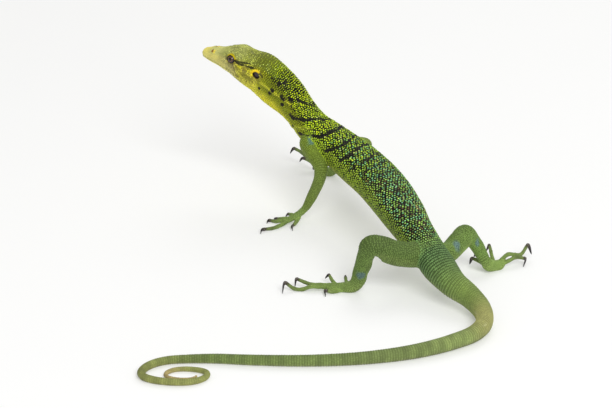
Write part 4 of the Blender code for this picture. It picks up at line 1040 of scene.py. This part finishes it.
def seat(tree, co, faces_n, data):
    """Moves each root onto the skin and drops those inside another part, too near one another, or in an opening."""
    rid, s, a, pa, pr = data
    p = np.zeros((len(s), 3))
    for k in np.unique(rid):
        m = rid == k
        p[m] = points_at(ROUTES[k], s[m], a[m], skin_grow(k), k == 0)
    hit = [tree.find_nearest(q) for q in p.tolist()]
    where = np.array([h[0][:] for h in hit])
    face = np.array([h[2] for h in hit])
    far = np.array([h[3] for h in hit])
    ok = far < np.where(rid == BODY_ID, 1.9, np.where(rid < FIRST_DIGIT, 1.7, 0.9))
    along, out, up = head_coords(where)
    head = (rid == BODY_ID) & (s < 56)
    for sign in (1, -1):
        _, _, g, dist, angle, _ = eye_coords(where, sign)
        ok &= ~(head & (dist < 6.5) & (angle < 1.7) & (g < 0.34))
        r = np.hypot(along - EAR_AT - 0.4, up - EAR_UP - 0.2)
        ok &= ~(head & (out * sign > 5) & (r < 2.65))
        c = on_head(NOSTRIL[0], sign * NOSTRIL[1], NOSTRIL[2])
        ok &= ~(head & (np.linalg.norm(where - c, axis=1) < 0.85))
    gape = np.abs(up - (MOUTH_FRONT + (MOUTH_BACK - MOUTH_FRONT) / MOUTH_END * along))
    ok &= ~(head & (gape < 0.22) & (along < MOUTH_END - 2))
    # none within a little over half a pitch of an earlier one
    cells, kept = {}, np.zeros(len(s), bool)
    close = 0.52 * np.minimum(pa, pr)
    q = where.tolist()
    for i in np.where(ok)[0]:
        x, y, z = q[i]
        key = (int(x), int(y), int(z)) if x >= 0 and y >= 0 else (math.floor(x), math.floor(y), int(z))
        lim = close[i] ** 2
        clash = False
        for dx in (-1, 0, 1):
            for dy in (-1, 0, 1):
                for dz in (-1, 0, 1):
                    for j in cells.get((key[0] + dx, key[1] + dy, key[2] + dz), ()):
                        o = q[j]
                        if (o[0] - x) ** 2 + (o[1] - y) ** 2 + (o[2] - z) ** 2 < lim:
                            clash = True
                            break
                    if clash:
                        break
                if clash:
                    break
            if clash:
                break
        if not clash:
            cells.setdefault(key, []).append(i)
            kept[i] = True
    m = kept
    return [x[m] for x in (rid, s, a, pa, pr)], where[m], faces_n[face[m]]


SIDES = 8
RING = 2 * np.pi * (np.arange(SIDES) + 0.5) / SIDES


def make_scales(data, root, normal):
    """Vertices, colours and map places of all scales: two rings and a crown each."""
    rid, s, a, pa, pr = data
    n = len(s)
    t = np.zeros((n, 3))
    for k in np.unique(rid):
        m = rid == k
        t[m] = frame_at(ROUTES[k], s[m])[4]
    t = unit(t - (t * normal).sum(1, keepdims=True) * normal)
    b = np.cross(normal, t)
    psi = (np.degrees(a) + 90) % 360 - 90
    f = 90 - np.abs(psi - 90)
    body = rid == BODY_ID
    back = body * step(f, 18, 40) * step(s, 34, 52) * (1 - step(s, 246, 272))
    rear = body * step(s, 246, 272)
    below = body * step(-f, 15, 45) * step(s, 90, 110)
    face = body * (1 - step(s, 38, 56))
    side = body * step(s, 92, 120) * (1 - step(s, 262, 285)) * (1 - step(f, 20, 45)) * (1 - step(-f, 15, 45))
    rx = pa * (0.47 - 0.105 * back - 0.09 * side + 0.04 * below + 0.02 * rear)
    ry = pr * (0.48 - 0.115 * back - 0.02 * side + 0.04 * below + 0.02 * rear)
    high = 0.20 + 0.16 * back + 0.05 * side - 0.03 * face
    high = np.where(rid >= FIRST_DIGIT, 0.13, np.where(body, high, 0.13))
    high = high * np.clip(0.5 + pa * 0.42, 0.5, 1.1)
    high = high * (1 - 0.35 * body * step(s, 310, 350))
    box = 2.0 + 1.2 * rear + 0.9 * below + 0.3 * side
    lean = 0.05 + 0.12 * rear + 0.1 * below
    vary = 1 + RNG.normal(0, 0.06, n)
    rx, ry, high = rx * vary, ry * vary, high * (1 + RNG.normal(0, 0.08, n))
    c, d = np.cos(RING)[None], np.sin(RING)[None]
    q = (2.0 / box)[:, None]
    x = rx[:, None] * np.sign(c) * np.abs(c) ** q
    y = ry[:, None] * np.sign(d) * np.abs(d) ** q

    def at(x, y, z):
        z = z + lean[:, None] * x
        return root[:, None] + x[..., None] * t[:, None] + y[..., None] * b[:, None] + z[..., None] * normal[:, None]

    low = at(x, y, np.full_like(x, -0.10))
    mid = at(x * 0.80, y * 0.80, np.repeat(high[:, None] * 0.70, SIDES, 1))
    crown = at(np.zeros((n, 1)), np.zeros((n, 1)), high[:, None])
    co = np.concatenate([low, mid, crown], 1)
    scale, gap = paint(rid, s, a, root)
    # each scale differs a little from the next
    lively = (0.03 + 0.13 * back + (0.11 + 0.08 * bump(f, 5, 22)) * face * step(s, 14, 24))[:, None]
    scale = scale * (1 + RNG.normal(0, 1, (n, 1)) * lively)
    psi_back = back * (1 - step(s, 240, 262))
    odd = RNG.uniform(0, 1, n)
    teal = psi_back * step(s, 96, 150) * (odd < 0.24 + 0.06 * step(s, 140, 190))
    scale = mix(scale, np.array((0.50, 0.86, 0.70)), 0.55 * teal * (scale.mean(1) > 0.2))
    pale = psi_back * (odd > 0.9)
    scale = mix(scale, np.array((0.82, 0.92, 0.62)), 0.5 * pale * (scale.mean(1) > 0.2))
    worn = psi_back * step(s, 150, 190) * (odd > 0.42) * (odd < 0.50)
    scale = mix(scale, np.array((0.34, 0.20, 0.13)), 0.7 * worn)
    # Painted light on each scale: the base ring is darkened as painted shade where it meets the skin and is mixed with
    # that skin's own colour; the middle ring is a little darker on the back; the crown is lightened as a painted
    # highlight.
    foot = mix(scale * (0.72 + 0.14 * body * step(s, 280, 310))[:, None], gap, 0.35 + 0.6 * back)
    colour = np.concatenate([np.repeat(foot[:, None], SIDES, 1), np.repeat((scale * (1.0 - 0.06 * back)[:, None])[:, None], SIDES, 1), (scale * (1.12 + 0.15 * back)[:, None])[:, None]], 1)
    i = np.arange(SIDES)
    j = (i + 1) % SIDES
    quads = np.stack([i, j, j + SIDES, i + SIDES], -1)
    tris = np.stack([i + SIDES, j + SIDES, np.full(SIDES, 2 * SIDES)], -1)
    u, v = unwrap_place(rid, s, a)
    local = np.concatenate([np.stack([np.cos(RING), np.sin(RING)], -1), 0.6 * np.stack([np.cos(RING), np.sin(RING)], -1), [[0.0, 0.0]]])
    return co, colour, quads, tris, np.stack([u, v], -1), local


def coat_piece(name, m, co, colour, quads, tris, uv, local, stuff, slot):
    """Joins the chosen scales into one mesh with its colours and its map."""
    k = int(m.sum())
    per = co.shape[1]
    verts = placed(co[m].reshape(-1, 3))
    base = (np.arange(k) * per)[:, None, None]
    loops = np.concatenate([(base + quads[None]).reshape(k, -1), (base + tris[None]).reshape(k, -1)], 1).ravel()
    counts = np.tile(np.concatenate([np.full(SIDES, 4), np.full(SIDES, 3)]), k)
    starts = np.concatenate([[0], np.cumsum(counts)[:-1]])
    mesh = bpy.data.meshes.new(name)
    mesh.vertices.add(len(verts))
    mesh.vertices.foreach_set("co", verts.astype(np.float32).ravel())
    mesh.loops.add(len(loops))
    mesh.loops.foreach_set("vertex_index", loops.astype(np.int32))
    mesh.polygons.add(len(counts))
    mesh.polygons.foreach_set("loop_start", starts.astype(np.int32))
    mesh.update(calc_edges=True)
    mesh.shade_smooth()
    attribute = mesh.attributes.new("paint", "FLOAT_COLOR", "POINT")
    rgba = np.concatenate([linear(colour[m].reshape(-1, 3)), np.ones((k * per, 1))], 1)
    attribute.data.foreach_set("color", rgba.astype(np.float32).ravel())
    place_uv = uv[m]
    lo, hi = place_uv.min(0), place_uv.max(0)
    place_uv = 0.004 + 0.992 * (place_uv - lo) / np.maximum(hi - lo, 1e-6)
    places = (place_uv[:, None] + 0.0015 * local[None]).reshape(-1, 2)[loops]
    mesh.uv_layers.new(name="OFBake").data.foreach_set("uv", places.astype(np.float32).ravel())
    mesh.materials.append(stuff)
    o = new_object(name, mesh)
    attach(o, "root")
    return o


# ================================================================== materials
def nodes_of(name):
    m = bpy.data.materials.new(name)
    m.use_nodes = True
    tree = m.node_tree
    return m, tree, tree.nodes["Principled BSDF"]


def painted(name, roughness, spread, grain, strength, specular=0.5, coat=0.0, wet=0.1):
    """Painted by its own colours, with fine unevenness in colour, shine and relief."""
    m, tree, shader = nodes_of(name)
    new, link = tree.nodes.new, tree.links.new
    read_paint = new("ShaderNodeAttribute")
    read_paint.attribute_type, read_paint.attribute_name = "GEOMETRY", "paint"
    coords = new("ShaderNodeTexCoord")
    noise = new("ShaderNodeTexNoise")
    noise.inputs["Scale"].default_value = grain
    noise.inputs["Detail"].default_value = 4.0
    link(coords.outputs["Object"], noise.inputs["Vector"])
    tone = new("ShaderNodeMapRange")
    tone.inputs["To Min"].default_value, tone.inputs["To Max"].default_value = 0.88, 1.12
    link(noise.outputs["Fac"], tone.inputs["Value"])
    shade = new("ShaderNodeVectorMath")
    shade.operation = "SCALE"
    link(read_paint.outputs["Color"], shade.inputs[0])
    link(tone.outputs["Result"], shade.inputs["Scale"])
    link(shade.outputs["Vector"], shader.inputs["Base Color"])
    rough = new("ShaderNodeMapRange")
    rough.inputs["To Min"].default_value, rough.inputs["To Max"].default_value = roughness - spread, roughness + spread
    link(noise.outputs["Fac"], rough.inputs["Value"])
    link(rough.outputs["Result"], shader.inputs["Roughness"])
    relief = new("ShaderNodeBump")
    relief.inputs["Strength"].default_value = strength
    relief.inputs["Distance"].default_value = 0.0001
    link(noise.outputs["Fac"], relief.inputs["Height"])
    link(relief.outputs["Normal"], shader.inputs["Normal"])
    shader.inputs["Specular IOR Level"].default_value = specular
    if coat:
        shader.inputs["Coat Weight"].default_value = coat
        shader.inputs["Coat Roughness"].default_value = wet
    return m


def colour_points(mesh, colours):
    attribute = mesh.attributes.new("paint", "FLOAT_COLOR", "POINT")
    rgba = np.concatenate([linear(colours), np.ones((len(colours), 1))], 1)
    attribute.data.foreach_set("color", rgba.astype(np.float32).ravel())


# ================================================================== eyes, ear drums and claws
def dome(centre, look, level, rise, radius, rings=40, sides=64, squash=1.0):
    """A ball whose pole faces the given way, with the angle from that pole for each point."""
    th = np.linspace(0, np.pi, rings)[1:-1]
    ph = 2 * np.pi * np.arange(sides) / sides
    pts = (np.cos(th)[:, None, None] * look * squash + np.sin(th)[:, None, None] * (np.cos(ph)[None, :, None] * level + np.sin(ph)[None, :, None] * rise)) * radius + centre
    verts, faces = tube(pts)
    verts[-2], verts[-1] = centre + look * radius * squash, centre - look * radius * squash
    angle = np.concatenate([np.repeat(th, sides), [0.0, np.pi]])
    turn = np.concatenate([np.tile(ph, len(th)), [0.0, 0.0]])
    return verts, faces, angle, turn


def outward(mesh):
    bm = bmesh.new()
    bm.from_mesh(mesh)
    bmesh.ops.recalc_face_normals(bm, faces=bm.faces)
    bm.to_mesh(mesh)
    bm.free()
    mesh.shade_smooth()


def make_eyes(wet):
    for tag, sign in (("L", 1), ("R", -1)):
        centre, look, level, rise = eye_frame(sign)
        verts, faces, angle, turn = dome(centre, look, level, rise, EYEBALL, 72, 96)
        r = EYEBALL * np.sin(np.minimum(angle, np.pi / 2))
        bulge = 0.12 * np.clip(1 - (r / 1.9) ** 2, 0, 1) * (angle < 1.2)      # the clear front stands a little proud
        verts = verts + unit(verts - centre) * bulge[:, None]
        rays = 0.5 + 0.5 * np.sin(turn * 23 + 2.0 * np.sin(turn * 7)) * np.sin(turn * 41 + 1.3)
        iris = mix(rgb(78, 41, 31), rgb(48, 29, 31), step(r, 1.4, 2.3))
        iris = mix(iris, rgb(150, 108, 50), 0.4 * rays * bump(r, 1.6, 0.35))
        iris = mix(iris, rgb(176, 136, 66), 0.55 * bump(r, 1.36, 0.09))
        colours = mix(rgb(6, 5, 7), iris, step(r, 1.20, 1.32))
        colours = mix(colours, rgb(44, 30, 30), step(r, 2.0, 2.35))
        colours[angle > 1.3] = rgb(50, 34, 32)
        mesh = new_mesh(f"eyeball_{tag}", placed(verts), faces)
        colour_points(mesh, colours)
        outward(mesh)
        mesh.materials.append(wet)
        o = new_object(f"eyeball_{tag}", mesh)
        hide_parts(f"eye_{tag}")
        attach(o, "root")


def make_drums(stuff):
    for tag, sign in (("L", 1), ("R", -1)):
        centre = on_head(EAR_AT + 0.4, sign * (EAR_OUT - 2.0), EAR_UP + 0.2)
        verts, faces, angle, turn = dome(centre, SIDE * sign, AXIS, UP, 2.65, 32, 48, 0.22)
        r = np.sin(np.minimum(angle, np.pi / 2))
        dent = -0.22 * bump(r, 0.25, 0.35) * (angle < 1.5)
        verts = verts + dent[:, None] * SIDE * sign
        colours = mix(rgb(58, 46, 50), rgb(34, 25, 29), step(r, 0.2, 0.9))
        mesh = new_mesh(f"eardrum_{tag}", placed(verts), faces)
        colour_points(mesh, colours)
        outward(mesh)
        mesh.materials.append(stuff)
        o = new_object(f"eardrum_{tag}", mesh)
        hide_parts(f"ear_{tag}")
        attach(o, "root")


def make_claws(horn):
    for foot, digits in DIGITS.items():
        for d, spec in digits.items():
            route = Route(claw_rows(spec))
            s = np.linspace(0, route.length, 26)
            rings = rings_of(route, s, 18)
            for k, share in ((0, 0.86), (25, 0.4)):
                rings[k] = rings[k].mean(0) + (rings[k] - rings[k].mean(0)) * share
            # a groove runs along each side
            a = 2 * np.pi * (np.arange(18) + 0.5) / 18
            centre = rings.mean(1, keepdims=True)
            pinch = 1 - 0.10 * bump(np.abs(np.cos(a)), 1, 0.25)[None, :, None] * (1 - s / route.length)[:, None, None]
            rings = centre + (rings - centre) * pinch
            # set back into the digit's end, under the skin
            back = unit(route.at(0.0)[0, :3] - route.at(0.6)[0, :3])
            rings[0] += back * (GAP + 0.3)
            rings[:, :, 2] = np.maximum(rings[:, :, 2], 0.0)
            verts, faces = tube(rings)
            t = np.concatenate([np.repeat(s / route.length, 18), [0.0, 1.0]])
            colours = mix(rgb(84, 76, 66), rgb(44, 36, 36), step(t, 0.05, 0.35))
            colours = mix(colours, rgb(24, 18, 22), step(t, 0.35, 0.8))
            name = f"horn_{foot}_{d}"
            mesh = new_mesh(name, placed(verts), faces)
            colour_points(mesh, colours)
            outward(mesh)
            mesh.materials.append(horn)
            o = new_object(name, mesh)
            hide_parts(f"claw_{foot}_{d}")
            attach(o, "root")


# ================================================================== stage
def make_stage():
    mesh = new_mesh("floor", [(-6, -6, 0), (6, -6, 0), (6, 6, 0), (-6, 6, 0)], [[0, 1, 2, 3]])
    m, tree, shader = nodes_of("floor")
    coords, noise, tone = tree.nodes.new("ShaderNodeTexCoord"), tree.nodes.new("ShaderNodeTexNoise"), tree.nodes.new("ShaderNodeMapRange")
    noise.inputs["Scale"].default_value = 3.0
    tone.inputs["To Min"].default_value, tone.inputs["To Max"].default_value = 0.72, 0.74
    tree.links.new(coords.outputs["Object"], noise.inputs["Vector"])
    tree.links.new(noise.outputs["Fac"], tone.inputs["Value"])
    pale = tree.nodes.new("ShaderNodeCombineColor")
    for c in ("Red", "Green", "Blue"):
        tree.links.new(tone.outputs["Result"], pale.inputs[c])
    tree.links.new(pale.outputs["Color"], shader.inputs["Base Color"])
    shader.inputs["Roughness"].default_value = 0.75
    shader.inputs["Specular IOR Level"].default_value = 0.2
    shader.inputs["Emission Color"].default_value = (1.0, 1.0, 0.985, 1.0)      # a light table: its glow softens the shadows
    shader.inputs["Emission Strength"].default_value = 0.258
    mesh.materials.append(m)
    floor = new_object("floor", mesh)
    floor.location.z = -0.00002

    world = bpy.data.worlds.new("studio")
    world.use_nodes = True
    sky = world.node_tree.nodes["Background"]
    sky.inputs["Color"].default_value = (1.0, 1.0, 0.985, 1.0)
    sky.inputs["Strength"].default_value = 0.515
    bpy.context.scene.world = world
    spin = Matrix.Rotation(math.radians(TURN), 4, "Z")
    # bench positions in metres: a high soft box on the camera's side and right, another behind
    for name, at, size, power in (("key", (0.60, -1.70, 1.66), 1.5, 36.0), ("back", (0.45, 1.25, 1.50), 1.2, 7.0)):
        data = bpy.data.lights.new(name, "AREA")
        data.shape, data.size, data.energy = "DISK", size, power
        light = bpy.data.objects.new(name, data)
        bpy.context.scene.collection.objects.link(light)
        where = spin @ Vector(at)
        light.location = where
        light.rotation_euler = (-(where)).to_track_quat("-Z", "Y").to_euler()
    view = bpy.context.scene.view_settings
    view.view_transform, view.look, view.exposure, view.gamma = "Standard", "None", 0.0, 1.0


# ================================================================== put together
FLESH = ["head", "jaw", "neck", "trunk_front", "trunk_rear"] + [f"tail_{k}" for k in range(1, 7)]
FLESH += [f"{part}_{side}" for part in ("upper_arm", "forearm", "hand", "thigh", "shin", "foot") for side in ("L", "R")]

# Lengths of the body whose scales form one piece each, with the record's slot
LENGTHS = (
    ("head", 0, 24, "skin_head"), ("head_rear", 24, 50, "skin_head"), ("neck", 50, 92, "skin_neck"), ("chest", 92, 146, "skin_trunk"),
    ("belly", 146, 212, "skin_trunk"), ("hips", 212, 280, "skin_trunk"), ("tail_root", 280, 380, "skin_tail"), ("tail_end", 380, 999, "skin_tail"),
)


def main():
    make_camera()
    make_stage()
    chart = Chart()
    mesh, co, tris, rid, s, a = build_skin(chart)

    leather = painted("skin", 0.58, 0.08, 2600.0, 0.5, 0.16)
    horny = painted("scales", 0.46, 0.08, 3200.0, 0.35, 0.24)
    fine = painted("scales_fine", 0.52, 0.08, 3600.0, 0.35, 0.26)

    # the skin's colours: what shows between the scales, and the scales' own where they are finest
    scale, gap = paint(rid, s, a, co)
    psi = (np.degrees(a) + 90) % 360 - 90
    f = 90 - np.abs(psi - 90)
    bare = np.where(rid == BODY_ID, 0.25 + 0.75 * step(s, 46, 66) * (1 - 0.75 * step(s, 300, 350)), 0.30)
    colours = mix(scale * 0.9, gap, bare)
    for sign in (1, -1):      # wet dark rims inside the lids
        _, _, g, far, angle, _ = eye_coords(co, sign)
        near = (rid == BODY_ID) & (s < 40) & (far < 6.5) & (angle < 1.6) & (g < 0.42)
        colours = mix(colours, rgb(30, 22, 20), near.astype(float))
    along, out, up = head_coords(co)
    gape = np.abs(up - (MOUTH_FRONT + (MOUTH_BACK - MOUTH_FRONT) / MOUTH_END * along))
    mouth = (rid == BODY_ID) * (1 - step(gape, 0.15, 0.38)) * (1 - step(along, MOUTH_END - 4, MOUTH_END))
    colours = mix(colours, rgb(112, 98, 60), 0.75 * mouth)
    faces_n = read(mesh.polygons, "normal", 3)
    polys = [list(q.vertices) for q in mesh.polygons]
    n_vert = normals_of(co, tris)
    faces_n = np.array([n_vert[q].mean(0) for q in polys])
    faces_n = unit(faces_n)
    tree = BVHTree.FromPolygons(co.tolist(), polys)

    # its map: every face a patch at its own place
    start, total = read(mesh.polygons, "loop_start", 1, int), read(mesh.polygons, "loop_total", 1, int)
    corner = read(mesh.loops, "vertex_index", 1, int)
    face_of = np.repeat(np.arange(len(start)), total)
    mid = np.stack([np.bincount(face_of, co[corner, c], len(start)) for c in range(3)], -1) / total[:, None]
    first = corner[start]
    frid, fs, fa = rid[first], s[first], a[first]
    fu, fv = unwrap_place(frid, fs, fa)
    t, b, long_, round_ = np.zeros((len(start), 3)), np.zeros((len(start), 3)), np.ones(len(start)), np.ones(len(start))
    for k in np.unique(frid):
        m = frid == k
        _, _, _, size, heading = frame_at(ROUTES[k], fs[m])
        t[m] = heading
        girth = np.pi * (size[:, 0] + (size[:, 1] + size[:, 2]) / 2)
        wide = {0: 1 / 222.0}.get(k, 0.47 / ROUTES[k].length if k < FIRST_DIGIT else 0.044 / ROUTES[k].length)
        tall = 0.10 if 0 < k < FIRST_DIGIT else 0.024
        if k == 0:
            tall = np.choose(np.clip((fs[m] / 220.0).astype(int), 0, 2), (0.395, 0.22, 0.085))
        long_[m], round_[m] = wide, tall / girth
    b = unit(np.cross(faces_n, t))
    d = co[corner] - co[first][face_of]
    u = fu[face_of] + (d * t[face_of]).sum(1) * long_[face_of]
    v = fv[face_of] - (d * b[face_of]).sum(1) * round_[face_of]
    mesh.uv_layers.new(name="OFBake").data.foreach_set("uv", np.clip(np.stack([u, v], -1), 0, 1).astype(np.float32).ravel())

    mesh.vertices.foreach_set("co", placed(co).astype(np.float32).ravel())
    mesh.update()
    mesh.shade_smooth()
    colour_points(mesh, colours)
    mesh.materials.clear()
    mesh.materials.append(leather)
    mesh.name = "skin"
    skin = new_object("skin", mesh)
    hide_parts(*FLESH)
    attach(skin, "root")

    data, root, normal = seat(tree, co, faces_n, layout())
    made = make_scales(data, root, normal)
    r, sc = data[0], data[1]
    print("SCALES", len(r), "skin faces", len(polys))
    for name, lo, hi, slot in LENGTHS:
        m = (r == BODY_ID) & (sc >= lo) & (sc < hi)
        print(name, int(m.sum()), int(m.sum()) * SIDES * 3)
        coat_piece(f"scales_{name}", m, *made, fine if hi <= 50 else horny, slot)
    for k in range(FIRST_LIMB, FIRST_DIGIT):
        m = r == k
        print(ROUTE_NAMES[k], int(m.sum()), int(m.sum()) * SIDES * 3)
        coat_piece(f"scales_{ROUTE_NAMES[k]}", m, *made, fine, "skin_limb")
    for foot in DIGITS:
        ids = [i for i, name in enumerate(ROUTE_NAMES) if name.startswith(foot)]
        m = np.isin(r, ids)
        print(foot, int(m.sum()), int(m.sum()) * SIDES * 3)
        coat_piece(f"scales_{foot}", m, *made, fine, "skin_limb")

    make_eyes(painted("eye_wet", 0.22, 0.03, 900.0, 0.0, 0.3, 0.45, 0.03))
    make_drums(painted("eardrum", 0.35, 0.06, 1500.0, 0.4, 0.4))
    make_claws(painted("horn", 0.26, 0.07, 1400.0, 0.5, 0.55))


main()
